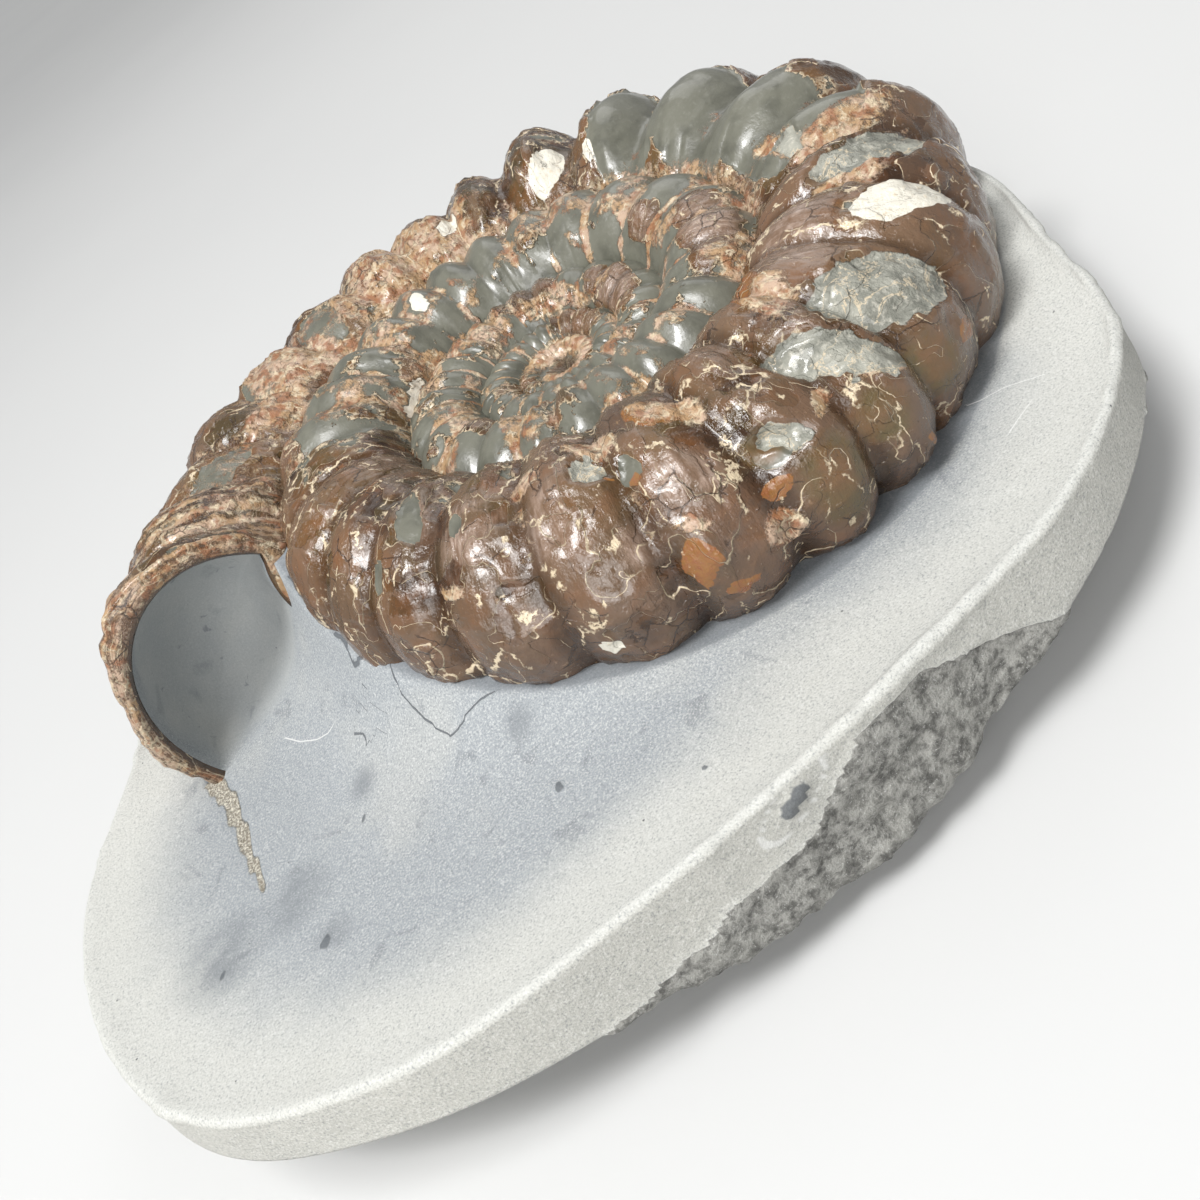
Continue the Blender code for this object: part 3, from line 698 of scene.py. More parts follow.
        # Painted shade: the inner rings of the lip, in the mouth, get the furrow's darkening.
        found["furrow"] = np.full(len(loop), 0.2 if across < 0.9 else 0.8)
        for title in titles:
            lip_shares[title].append(found[title])
        lip_uv.append(np.stack([24.0 + 1.2 * across + 0 * section, section / UV_SECTION], axis=-1))
    for back in RECESS_RINGS:
        at = MOUTH - back
        ring_out, ring_up = ray_ends(angles, lambda o, h: in_mouth(at, LIP_WALL, FLANK_COVER, o, h))
        rings.append(add(in_space(at + 0 * ring_out, ring_out, ring_up)))
    for here, there in zip(rings, rings[1:]):
        faces += quads(np.array([[*here, here[0]], [*there, there[0]]]))
    back_hub = add(in_space(np.array([MOUTH - RECESS]), *(np.array([value]) for value in BOWL_HUB)))[0]
    faces += [(back_hub, here, there) for here, there in zip(rings[-1], [*rings[-1][1:], rings[-1][0]])]

    points.append(np.array(extra))
    before, after = 2, len(extra) - 2 - len(LIP_PROFILE) * len(loop)
    for title in titles:
        plain = 0.9 if title == "cover" else 0.0
        added = (np.full(before, plain), *lip_shares[title], np.full(after, plain))
        shares[title] = np.concatenate([*shares[title], *added])
    uvs += [np.zeros((before, 2)), *lip_uv, np.zeros((after, 2))]
    faces = [[int(i) for i in face] for face in faces]
    return mesh_object("ammonite_shell", np.concatenate(points), faces, shares, np.concatenate(uvs))


def quads(grid):
    """The faces between neighbouring rows and columns of a grid of point numbers."""
    corners = (grid[:-1, :-1], grid[1:, :-1], grid[1:, 1:], grid[:-1, 1:])
    return np.stack([corner.ravel() for corner in corners], axis=1).tolist()


def outline_radius(angle):
    """How far the block's edge lies from the coil's axis."""
    points = np.array(OUTLINE)
    angles = np.degrees(np.arctan2(points[:, 1], points[:, 0])) % 360.0
    order = np.argsort(angles)
    stations = angles[order]
    radii = np.hypot(points[:, 0], points[:, 1])[order]
    stations = np.concatenate([stations - 360.0, stations, stations + 360.0])
    return smooth_value(stations, np.tile(radii, 3), angle % 360.0)


def rim_level(angle):
    """The height of the block's rim, which dips beside the lip."""
    facing = np.maximum(0.0, np.cos(np.radians(angle - RIM_DIP[1])))
    return RIM_LEVEL - RIM_DIP[0] * facing**4


def stone_level(growth, radius, edge):
    """The stone's dished top beside the outermost whorl, coming up to where it meets the shell."""
    whorl_radius, whorl_width, _, _ = tube_at(growth)
    shell_edge = np.minimum(whorl_radius + whorl_width, edge - EDGE_MARGIN)
    share = np.clip((radius - shell_edge) / (edge - RIM_ROUND - shell_edge), 0.0, 1.0)
    facing = np.maximum(0.0, np.cos(np.radians(growth - DISH[2])))
    depth = (DISH[0] + DISH[1] * facing**2) * (1 - share**3)
    level = rim_level(growth) - depth
    contact = smooth_value(CONTACT_ANGLES, CONTACT_HEIGHTS, growth)
    away = np.maximum(0.0, radius - shell_edge)
    return level + (contact - level) * np.exp(-away / CONTACT_REACH) * (1 - share)


def side_height(angle):
    """How high the side is, from the rim down to where the underside begins."""
    low, swell, at, width = SIDE_HEIGHT
    wrapped = (angle + 180.0) % 360.0 - 180.0
    return low + swell * np.exp(-(((wrapped - at) / width) ** 2))



def line_offset(x, y, lines):
    """The signed distance to the nearest of some lines, as a multiple of that line's half width there."""
    best = np.full(x.shape, FAR_OFF)
    for points, start_width, end_width in lines:
        count = len(points) - 1
        for i in range(count):
            from_x, from_y = points[i]
            along_x, along_y = points[i + 1][0] - from_x, points[i + 1][1] - from_y
            length = math.hypot(along_x, along_y)
            t = ((x - from_x) * along_x + (y - from_y) * along_y) / length**2
            side = np.sign((x - from_x) * along_y - (y - from_y) * along_x)
            clipped = np.clip(t, 0.0, 1.0)
            far = np.hypot(x - from_x - along_x * clipped, y - from_y - along_y * clipped)
            share = (i + clipped) / count
            beyond = ((i == 0) & (t < 0)) | ((i == count - 1) & (t > 1))
            width = np.where(beyond, 0.01, start_width + (end_width - start_width) * share)
            offset = np.clip(side * far / width, -FAR_OFF, FAR_OFF)
            best = np.where(np.abs(offset) < np.abs(best), offset, best)
    return best


def round_marks(x, y, marks, outer, inner):
    """1 in the middle of each mark and 0 outside. Outer and inner are its edge's limits, in mark sizes."""
    return sum(fade(np.hypot(x - at, y - by), outer * size, inner * size) for at, by, size in marks)


def moved_out(points, faces, amount):
    """The points moved along the surface's own direction by these amounts."""
    data = bpy.data.meshes.new("surface")
    data.from_pydata(points.tolist(), [], faces)
    facing = np.zeros(len(points) * 3, np.float32)
    data.vertices.foreach_get("normal", facing)
    bpy.data.meshes.remove(data)
    return points + facing.reshape(-1, 3) * amount[:, None]


def mouth_wall(ids, centre):
    """The faces in the mouth's plane, under the top's first column and over its last column."""
    faces = []
    for k in range(HIDDEN_ROWS):
        faces.append((centre, ids[0, k], ids[0, k + 1]))
        faces.append((centre, ids[-1, k + 1], ids[-1, k]))
    return faces


def stone_mesh():
    """The block as one closed mesh: dished top, rim, ground side and rough natural underside."""
    angle = np.linspace(START, MOUTH, COLUMNS + 1)[:, None]
    edge = outline_radius(angle)
    whorl_radius, whorl_width, _, _ = tube_at(angle)
    begin = np.minimum(whorl_radius + whorl_width, edge - EDGE_MARGIN) - HIDDEN_REACH
    at_ends = np.maximum(fade(angle, START + 30.0, START), fade(angle, MOUTH - 12.0, MOUTH))
    even = begin + (edge - RIM_ROUND - begin) * HIDDEN_ROWS / TOP_GRID_ROWS
    middle = even + (SHARED_RADIUS - even) * at_ends
    inner = np.linspace(0, 1, HIDDEN_ROWS + 1)[None, :-1]
    outer = np.linspace(0, 1, TOP_GRID_ROWS - HIDDEN_ROWS + 1)[None, :-1]
    hidden = begin + (middle - begin) * inner
    shown = middle + (edge - RIM_ROUND - middle) * outer
    radius = np.concatenate([hidden, shown], axis=1)
    level = stone_level(angle, radius, edge)
    past_mouth = stone_level(START, radius, edge)
    near_mouth = fade(angle, MOUTH - 24.0, MOUTH)
    level = level + (past_mouth - level) * near_mouth * (radius > SHARED_RADIUS - 0.001)
    turn = np.linspace(0, math.pi / 2, RIM_GRID_ROWS + 1)[None, :]
    rim = rim_level(angle)
    radius = np.concatenate([radius, edge - RIM_ROUND + RIM_ROUND * np.sin(turn)], axis=1)
    level = np.concatenate([level, rim - RIM_ROUND + RIM_ROUND * np.cos(turn)], axis=1)
    down = np.linspace(0, 1, SIDE_GRID_ROWS + 1)[None, 1:]
    lower = rim - side_height(angle)
    radius = np.concatenate([radius, edge + SIDE_SLOPE * down], axis=1)
    level = np.concatenate([level, rim - RIM_ROUND + (lower - rim + RIM_ROUND) * down], axis=1)
    under = np.linspace(0, 1, UNDER_GRID_ROWS + 1)[None, 1:]
    foot = edge + SIDE_SLOPE
    radius = np.concatenate([radius, foot + (edge * BASE_SHARE - foot) * under], axis=1)
    level = np.concatenate([level, lower - (lower + COIL[2]) * np.sin(under * math.pi / 2)], axis=1)
    flat = np.array([FLAT_RINGS])
    radius = np.concatenate([radius, edge * BASE_SHARE * flat], axis=1)
    level = np.concatenate([level, -COIL[2] + 0 * edge * flat], axis=1)
    angle = angle + 0 * radius
    grid = in_space(angle, radius, level)
    rows = grid.shape[1]
    row = np.arange(rows)[None, :] + 0 * radius
    side_start = TOP_GRID_ROWS + RIM_GRID_ROWS
    side_end = side_start + SIDE_GRID_ROWS
    on_top = fade(row, side_start, side_start - RIM_GRID_ROWS)
    ground = window(row, side_start - 2, side_end, 2)

    from_rim = (edge - RIM_ROUND - radius) * (row <= TOP_GRID_ROWS)
    waver = lumps(grid, 11.0, 201, 2)
    moat = on_top * fade(from_rim + 0.8 * waver, -1.0, 17.0)
    below = np.interp(angle, RIND_ANGLES, RIND_LEVELS, period=360.0) - level
    natural = fade(below + 1.5 * lumps(grid, 7.0, 211, 4), -0.15, 0.15) * (row > side_start + 1)
    x, y = grid[..., 0], grid[..., 1]
    vein = on_top * fade(np.abs(line_offset(x, y, [CALCITE_VEIN])), 1.5, 0.6)
    bent_x = x + 0.25 * lumps(grid, 1.2, 281, 2)
    bent_y = y + 0.25 * lumps(grid, 1.2, 291, 2)
    cracks = line_offset(bent_x, bent_y, DARK_CRACKS)
    pale_lines = line_offset(x, y, PALE_LINES)
    spots = round_marks(x, y, DARK_SPOTS, 1.1, 0.6) * on_top
    blotches = round_marks(x, y, BLUE_BLOTCHES, 1.3, 0.2) * on_top
    scar_at, scar_level, scar_high, scar_long = SIDE_SCAR
    off_side = (((angle + 180.0) % 360.0 - 180.0) - scar_at) * math.pi / 180.0 * radius
    slant = level - scar_level - 0.35 * off_side
    scar_reach = np.hypot(off_side / scar_long, slant / scar_high)
    on_side = (row > side_start - 1) * (row < side_end)
    scar = on_side * (fade(scar_reach, 0.62, 0.5) - 0.6 * window(scar_reach, 1.25, 1.5, 0.12))
    # Painted shade: the stone is darkened where it meets the shell.
    contact = on_top * np.exp(-np.maximum(0.0, radius - (whorl_radius + 0.96 * whorl_width)) / 0.9)
    ids = np.arange(grid.shape[0] * rows).reshape(grid.shape[:2])
    faces = quads(ids)
    flatness = fade(row, rows - 7, rows - 12)
    hackle = 0.9 * lumps(grid, 6.0, 221, 4) + 0.7 * np.abs(lumps(grid, 2.4, 231, 3))
    amount = natural * (hackle * 0.9 - 0.35) * flatness
    amount = amount + ground * (1 - natural) * 0.10 * lumps(grid, 3.5, 241, 3)
    amount = amount + on_top * (0.05 * lumps(grid, 6.0, 251, 2) + 0.03 * lumps(grid, 1.2, 261, 2))
    rim_chips = window(row, TOP_GRID_ROWS - 1, side_start + 1, 1.5)
    amount = amount + vein * (0.12 + 0.30 * np.abs(lumps(grid, 0.9, 321, 2))) - 0.25 * spots
    amount = amount - 0.10 * fade(np.abs(cracks), 3.0, 1.0) * on_top - 0.35 * np.clip(scar, 0, 1)
    amount = amount - rim_chips * 0.22 * fade(lumps(grid, 3.0, 271, 3), 0.05, 0.6)
    beside_mouth = fade(angle, START, START + 4.0)
    amount = amount * np.where(row < HIDDEN_ROWS, beside_mouth, 1.0)
    points = moved_out(grid.reshape(-1, 3), faces, amount.ravel())
    points[:, 2] = np.maximum(points[:, 2], -COIL[2])
    first, last = ids[0, HIDDEN_ROWS:], ids[-1, HIDDEN_ROWS:]
    points[first] = points[last] = (points[first] + points[last]) / 2
    shares = {"moat": moat, "natural": natural, "ground": ground * (1 - natural), "in_bowl": 0 * moat}
    shares |= {"vein": vein, "cracks": cracks, "pale_lines": pale_lines, "spots": spots}
    shares |= {"blotches": blotches, "scar": scar, "contact": contact}
    shares = {title: value.ravel() for title, value in shares.items()}

    total = len(points)
    points = np.concatenate([points, [(0.0, 0.0, STONE_CENTRE), (0.0, 0.0, -COIL[2])]])
    ends = {"natural": (0.0, 1.0), "cracks": (FAR_OFF, FAR_OFF), "pale_lines": (FAR_OFF, FAR_OFF)}
    shares = {title: np.append(value, ends.get(title, (0.0, 0.0))) for title, value in shares.items()}
    faces += [(total, there, here) for here, there in zip(ids[:, 0], ids[1:, 0])]
    faces += [(total + 1, here, there) for here, there in zip(ids[:, -1], ids[1:, -1])]
    faces += mouth_wall(ids, total)
    faces.append((total + 1, ids[-1, -1], ids[0, -1]))
    faces = [[int(i) for i in face] for face in faces]
    return mesh_object("matrix_stone", points, faces, shares)


def sediment_mesh():
    """The fill of the mouth with the bowl in its front, thin where it meets the lip."""
    angles = np.linspace(0, 2 * math.pi, BOWL_SIDES, endpoint=False)
    edge = float(outline_radius(MOUTH))
    rings = []
    for back in (SEDIMENT_BACK, 12.0, 8.0, 4.0, 1.0, 0.0):
        at = MOUTH - back
        ends = ray_ends(angles, lambda o, h: in_mouth(at, LIP_WALL + 0.02, FLANK_COVER + 0.02, o, h))
        rings.append(in_space(at + 0 * angles, *ends))

    def open_mouth(out, up):
        over_stone = up > stone_level(START, out, edge)
        return over_stone & in_mouth(MOUTH, LIP_WALL + 0.04, FLANK_COVER + 0.04, out, up)

    out, up = ray_ends(angles, open_mouth)
    on_floor = in_mouth(MOUTH, LIP_WALL + 0.3, FLANK_COVER + 0.3, out, up - 0.2) * 1.0
    for forward, sunk in ((3.0, 0.30), (2.0, 0.16), (1.0, 0.07), (0.4, 0.02)):
        level = stone_level(START + forward, out, float(outline_radius(START + forward))) - sunk
        rings.append(in_space(MOUTH + forward * on_floor, out, up + (level - up) * on_floor))
    steps = 1 - np.linspace(1, 0, BOWL_RINGS) ** 1.6
    bowl_start = len(rings)
    for share in steps[:-1]:
        size = np.sqrt(1 - share**2) - 0.12 * share * (1 - share) + 0.03 * share
        ring_out = BOWL_HUB[0] + (out - BOWL_HUB[0]) * size
        ring_up = BOWL_HUB[1] + (up - BOWL_HUB[1]) * size
        rings.append(in_space(MOUTH - BOWL_DEPTH * share + 0 * angles, ring_out, ring_up))
    grid = np.array(rings)
    inside = np.array([min(1.0, max(0.0, (i - bowl_start) / 8)) for i in range(len(rings))])[:, None]
    dent = inside * (0.10 * lumps(grid, 4.0, 301, 2) + 0.03 * lumps(grid, 1.0, 311, 2))
    middle = in_space(np.array([MOUTH - 5.0]), *(np.array([value]) for value in BOWL_HUB))
    away = grid - middle
    grid = grid + away / np.linalg.norm(away, axis=-1, keepdims=True) * dent[..., None]
    ids = np.arange(grid.shape[0] * BOWL_SIDES).reshape(grid.shape[:2])
    faces = quads(np.concatenate([ids, ids[:, :1]], axis=1))
    total = ids.size
    hub_angles = np.array([MOUTH - SEDIMENT_BACK, MOUTH - BOWL_DEPTH])
    hubs = in_space(hub_angles, np.full(2, BOWL_HUB[0]), np.full(2, BOWL_HUB[1]))
    for hub, ring in ((total, ids[0]), (total + 1, ids[-1])):
        faces += [(hub, here, there) for here, there in zip(ring, [*ring[1:], ring[0]])]
    points = np.concatenate([grid.reshape(-1, 3), hubs])
    depth = np.concatenate([np.repeat(inside, BOWL_SIDES, axis=1).ravel(), (1.0, 1.0)])
    from_rim = edge - RIM_ROUND - np.hypot(points[:, 0], points[:, 1])
    moat = fade(from_rim + 0.8 * lumps(points, 11.0, 201, 2), -1.0, 17.0)
    no_line = FAR_OFF + 0 * depth
    moat = moat + (0.6 - moat) * depth
    shares = {"moat": moat, "in_bowl": depth, "cracks": no_line, "pale_lines": no_line}
    faces = [[int(i) for i in face] for face in faces]
    return mesh_object("mouth_sediment", points, faces, shares)


class Finish:
    """A material, and short ways to add nodes to it. Places are in millimetres."""

    def __init__(self, name):
        self.material = bpy.data.materials.new(name)
        self.material.use_nodes = True
        self.tree = self.material.node_tree
        self.shader = self.tree.nodes["Principled BSDF"]
        where = self.node("ShaderNodeTexCoord").outputs["Object"]
        self.place = self.vector("SCALE", where, 1000.0)

    def node(self, kind, **settings):
        made = self.tree.nodes.new(kind)
        for name, value in settings.items():
            setattr(made, name, value)
        return made

    def feed(self, socket, value):
        """Links an output to the socket, or sets a number or colour on it."""
        if isinstance(value, bpy.types.NodeSocket):
            self.tree.links.new(value, socket)
        elif socket.type == "RGBA":
            socket.default_value = (*value, 1.0)
        else:
            socket.default_value = value

    def vector(self, operation, first, second):
        made = self.node("ShaderNodeVectorMath", operation=operation)
        self.feed(made.inputs[0], first)
        self.feed(made.inputs["Scale"] if operation == "SCALE" else made.inputs[1], second)
        return made.outputs["Vector"]

    def math(self, operation, first, second=0.0):
        made = self.node("ShaderNodeMath", operation=operation)
        self.feed(made.inputs[0], first)
        self.feed(made.inputs[1], second)
        return made.outputs["Value"]

    def raised(self, value, first, second):
        """The value with the product of two others added to it."""
        return self.math("ADD", value, self.math("MULTIPLY", first, second))

    def stirred(self, value, noise, amount):
        """The value with this noise around it, up to half of the amount either way."""
        return self.raised(value, self.math("SUBTRACT", noise, 0.5), amount)

    def share(self, title):
        return self.node("ShaderNodeAttribute", attribute_name=title).outputs["Fac"]

    def noise(self, size, layers=3.0, rough=0.55, place=None, twist=0.0, output="Fac"):
        """Noise from 0 to 1 with lumps of about this size."""
        made = self.node("ShaderNodeTexNoise")
        self.feed(made.inputs["Vector"], place or self.place)
        made.inputs["Scale"].default_value = 1.0 / size
        made.inputs["Detail"].default_value = layers
        made.inputs["Roughness"].default_value = rough
        made.inputs["Distortion"].default_value = twist
        return made.outputs[output]

    def borders(self, size, place=None, feature="DISTANCE_TO_EDGE"):
        made = self.node("ShaderNodeTexVoronoi", feature=feature)
        self.feed(made.inputs["Vector"], place or self.place)
        made.inputs["Scale"].default_value = 1.0 / size
        return made.outputs["Distance"]

    def ramp(self, value, low, high, to_low=0.0, to_high=1.0):
        """A soft step from one value to another."""
        made = self.node("ShaderNodeMapRange", interpolation_type="SMOOTHSTEP")
        for name, given in (("Value", value), ("From Min", low), ("From Max", high), ("To Min", to_low)):
            self.feed(made.inputs[name], given)
        self.feed(made.inputs["To Max"], to_high)
        return made.outputs["Result"]

    def mix(self, share, first, second):
        made = self.node("ShaderNodeMix", data_type="RGBA")
        self.feed(made.inputs[0], share)
        self.feed(made.inputs[6], first)
        self.feed(made.inputs[7], second)
        return made.outputs[2]

    def tint(self, colour, first, second, other):
        """The colour with another one over it, as strong as the product of the two values."""
        return self.mix(self.math("MULTIPLY", first, second), colour, other)

    def blend(self, share, first, second):
        made = self.node("ShaderNodeMix", data_type="FLOAT")
        self.feed(made.inputs[0], share)
        self.feed(made.inputs[2], first)
        self.feed(made.inputs[3], second)
        return made.outputs[0]

    def bump(self, height, depth, strength):
        """A bump of this depth in millimetres."""
        made = self.node("ShaderNodeBump")
        made.inputs["Strength"].default_value = strength
        made.inputs["Distance"].default_value = depth * MM
        self.feed(made.inputs["Height"], height)
        return made.outputs["Normal"]


def fossil_finish(colours):
    """Brown shell in layers over a grey-green mould, with tan crust, white calcite and amber spots. Light
    is painted in too: shade in the furrows and on the low flank, a lilac sheen on the crests, and
    highlights in some of the white.
    """
    f = Finish("fossil_shell")
    wide = f.noise(9.0, 3.0)
    middle = f.noise(2.4, 4.0)
    fine = f.noise(0.55, 4.0, 0.62)
    grit = f.noise(0.16, 3.0, 0.6)
    along = f.node("ShaderNodeUVMap", uv_map="along_whorl").outputs["UV"]
    stretched = f.node("ShaderNodeMapping")
    f.feed(stretched.inputs["Vector"], along)
    stretched.inputs["Scale"].default_value = (16.0, 1.1, 1.0)
    streaks = f.noise(1.0, 5.0, 0.6, stretched.outputs["Vector"], 0.6)

    cover = f.stirred(f.share("cover"), fine, 0.26)
    cover = f.stirred(cover, middle, 0.22)
    shell = f.ramp(cover, 0.485, 0.515)
    flake_edge = f.math("MULTIPLY", f.ramp(cover, 0.49, 0.505), f.ramp(cover, 0.56, 0.52))
    upper_layer = f.ramp(f.math("ADD", cover, f.math("MULTIPLY", wide, 0.5)), 1.04, 1.07)

    flap = f.stirred(f.share("flap"), fine, 0.045)
    second_flap = f.stirred(f.share("second_flap"), fine, 0.04)
    flap_line = f.math("MULTIPLY", f.ramp(flap, -0.012, 0.0), f.ramp(flap, 0.02, 0.008))
    second_line = f.math("MULTIPLY", f.ramp(second_flap, -0.01, 0.0), f.ramp(second_flap, 0.016, 0.006))
    flap_line = f.math("MULTIPLY", flap_line, f.ramp(f.noise(5.0, 3.0), 0.42, 0.52))
    second_line = f.math("MULTIPLY", second_line, f.ramp(f.noise(4.0, 3.0, 0.5, None, 0.5), 0.48, 0.56))
    brown = f.mix(f.ramp(wide, 0.38, 0.62), colours.dark_shell, colours.brown_shell)
    brown = f.tint(brown, f.ramp(second_flap, -0.02, 0.02), 0.4, colours.olive)
    brown = f.tint(brown, f.ramp(flap, -0.01, 0.01), 0.45, colours.mauve_shell)
    # Painted shade: the low outer flank is darkened towards the stone.
    brown = f.tint(brown, f.share("painted_flank_shade"), 0.45, colours.dark_shell)
    brown = f.tint(brown, f.ramp(middle, 0.45, 0.75), 0.6, colours.red_shell)
    brown = f.tint(brown, f.ramp(streaks, 0.5, 0.75), 0.25, colours.mauve_shell)
    # Fine scratches along the streaks, partly painted glints: tan flecks on the shell.
    scratches_and_glints = f.math("MULTIPLY", f.ramp(fine, 0.58, 0.72), f.ramp(streaks, 0.45, 0.65))
    brown = f.tint(brown, scratches_and_glints, 0.5, colours.tan_crust)
    # Painted sheen: the lilac highlight on the crests, going from the shell's mauve to a pale colour.
    painted_sheen_colour = f.mix(f.ramp(streaks, 0.35, 0.7), colours.mauve_shell, colours.painted_sheen_pale)
    # The upper layer's own mauve, laid on the rib crests only, so it is partly a painted sheen.
    on_crest = f.math("SUBTRACT", 1.0, f.share("furrow"))
    painted_sheen = f.math("MULTIPLY", f.share("painted_sheen"), f.ramp(f.noise(3.0, 5.0, 0.65), 0.36, 0.55))
    brown = f.tint(brown, upper_layer, f.math("MULTIPLY", on_crest, 0.45), colours.mauve_shell)
    brown = f.mix(painted_sheen, brown, painted_sheen_colour)
    # Painted shade: the shell is darkened in the furrows between the ribs.
    brown = f.tint(brown, f.share("furrow"), 0.6, colours.dark_shell)

    mould = f.mix(f.ramp(middle, 0.25, 0.6, 0.35, 1.0), colours.dark_mould, colours.grey_mould)
    mould = f.tint(mould, f.ramp(fine, 0.55, 0.8), 0.35, colours.pale_mould)
    # Painted shade: the mould is darkened in the furrows between the ribs.
    mould = f.tint(mould, f.share("furrow"), 0.4, colours.dark_mould)
    colour = f.mix(shell, mould, brown)
    colour = f.tint(colour, flake_edge, f.ramp(fine, 0.35, 0.6), colours.cream_edge)

    olive = f.mix(f.ramp(middle, 0.3, 0.7), colours.olive, colours.brown_shell)
    colour = f.tint(colour, f.share("olive"), 0.85, olive)
    amber = f.ramp(f.stirred(f.share("amber"), fine, 0.7), 0.45, 0.6)
    colour = f.tint(colour, amber, 0.8, f.mix(f.ramp(fine, 0.4, 0.65), colours.amber, colours.rust))

    crust = f.stirred(f.share("crust"), fine, 1.1)
    crust = f.stirred(crust, streaks, 0.6)
    crust = f.stirred(crust, grit, 0.7)
    crust = f.ramp(crust, 0.40, 0.80)
    tan = f.mix(f.ramp(middle, 0.4, 0.62), colours.tan_crust, colours.pink_crust)
    tan = f.mix(f.ramp(f.noise(0.8, 4.0, 0.6, None, 0.7), 0.5, 0.62), tan, colours.cream_edge)
    tan = f.tint(tan, f.ramp(f.noise(1.4, 4.0), 0.5, 0.62), 0.8, colours.rust)
    tan = f.tint(tan, f.ramp(fine, 0.5, 0.35), 0.5, colours.brown_shell)
    colour = f.tint(colour, crust, 0.9, tan)

    warp = f.vector("SCALE", f.noise(1.5, 5.0, 0.65, output="Color"), 0.8)
    bent = f.vector("ADD", f.place, warp)
    broken = f.ramp(f.stirred(f.share("broken"), fine, 0.5), 0.4, 0.55)
    rough_grey = f.mix(f.ramp(middle, 0.35, 0.65), colours.break_dark, colours.break_pale)
    rough_grey = f.tint(rough_grey, f.ramp(fine, 0.5, 0.75), 0.5, colours.white_calcite_and_glint)
    ridge = f.math("ABSOLUTE", f.math("SUBTRACT", f.noise(3.4, 5.0, 0.65, None, 0.8), 0.5))
    rough_grey = f.tint(rough_grey, f.ramp(ridge, 0.016, 0.004), 0.7, colours.cream_edge)
    colour = f.mix(broken, colour, rough_grey)
    # White calcite, partly painted highlights on the ribs.
    calcite_and_glint = f.ramp(f.stirred(f.share("calcite_and_glint"), fine, 0.5), 0.4, 0.52)
    calcite_and_glint_white = f.mix(f.ramp(fine, 0.5, 0.85), colours.white_calcite_and_glint, colours.cream_edge)
    colour = f.mix(calcite_and_glint, colour, calcite_and_glint_white)

    banded = f.node("ShaderNodeMapping")
    f.feed(banded.inputs["Vector"], along)
    banded.inputs["Scale"].default_value = (2.3, 0.30, 1.0)
    jagged = f.vector("SCALE", f.noise(1.1, 5.0, 0.65, output="Color"), 0.28)
    crack = f.borders(1.0, f.vector("ADD", banded.outputs["Vector"], jagged))
    pale_line = f.math("MULTIPLY", f.ramp(crack, 0.028, 0.010), f.ramp(f.noise(2.6, 4.0, 0.65), 0.53, 0.60))
    fine_crack = f.borders(2.6, bent)
    dark_place = f.ramp(f.noise(5.0, 2.0, 0.5, None, 0.3), 0.55, 0.62)
    dark_line = f.math("MULTIPLY", f.ramp(fine_crack, 0.03, 0.01), dark_place)
    on_shell = f.math("MULTIPLY", shell, f.math("SUBTRACT", 1.0, f.math("MAXIMUM", broken, calcite_and_glint)))
    lines = f.math("MULTIPLY", f.math("MAXIMUM", flap_line, second_line), on_shell)
    colour = f.tint(colour, lines, f.ramp(fine, 0.3, 0.55, 0.45, 1.0), colours.cream_edge)
    pale_line = f.math("MULTIPLY", pale_line, on_shell)
    dark_line = f.math("MULTIPLY", dark_line, on_shell)
    colour = f.mix(pale_line, colour, colours.cream_edge)
    colour = f.tint(colour, dark_line, 0.8, colours.dark_shell)
    f.feed(f.shader.inputs["Base Color"], colour)

    roughness = f.blend(shell, f.ramp(fine, 0.3, 0.7, 0.30, 0.44), f.ramp(fine, 0.3, 0.75, 0.08, 0.30))
    roughness = f.blend(crust, roughness, f.ramp(fine, 0.3, 0.7, 0.28, 0.6))
    roughness = f.blend(broken, roughness, 0.66)
    roughness = f.blend(calcite_and_glint, roughness, 0.6)
    f.feed(f.shader.inputs["Roughness"], roughness)
    f.shader.inputs["IOR"].default_value = 1.55
    f.shader.inputs["Coat Weight"].default_value = 0.4
    f.shader.inputs["Coat Roughness"].default_value = 0.09

    height = f.math("ADD", f.math("MULTIPLY", shell, 0.9), f.math("MULTIPLY", upper_layer, 0.35))
    height = f.math("SUBTRACT", height, f.math("MULTIPLY", f.math("ADD", dark_line, pale_line), 0.35))
    height = f.raised(height, f.math("MULTIPLY", f.ramp(flap, -0.01, 0.01), shell), 1.1)
    height = f.raised(height, f.math("MULTIPLY", f.ramp(second_flap, -0.01, 0.01), shell), 0.7)
    height = f.raised(height, streaks, f.blend(shell, 0.1, 0.9))
    height = f.raised(height, f.noise(1.2, 4.0, 0.6), f.blend(shell, 0.2, 2.2))
    rough = f.math("MAXIMUM", f.math("MAXIMUM", crust, broken), f.math("MULTIPLY", calcite_and_glint, 0.5))
    height = f.raised(height, fine, f.blend(rough, 0.5, 2.0))
    height = f.raised(height, grit, f.blend(rough, 0.10, 0.5))
    f.feed(f.shader.inputs["Normal"], f.bump(height, 0.12, 0.9))
    return f.material


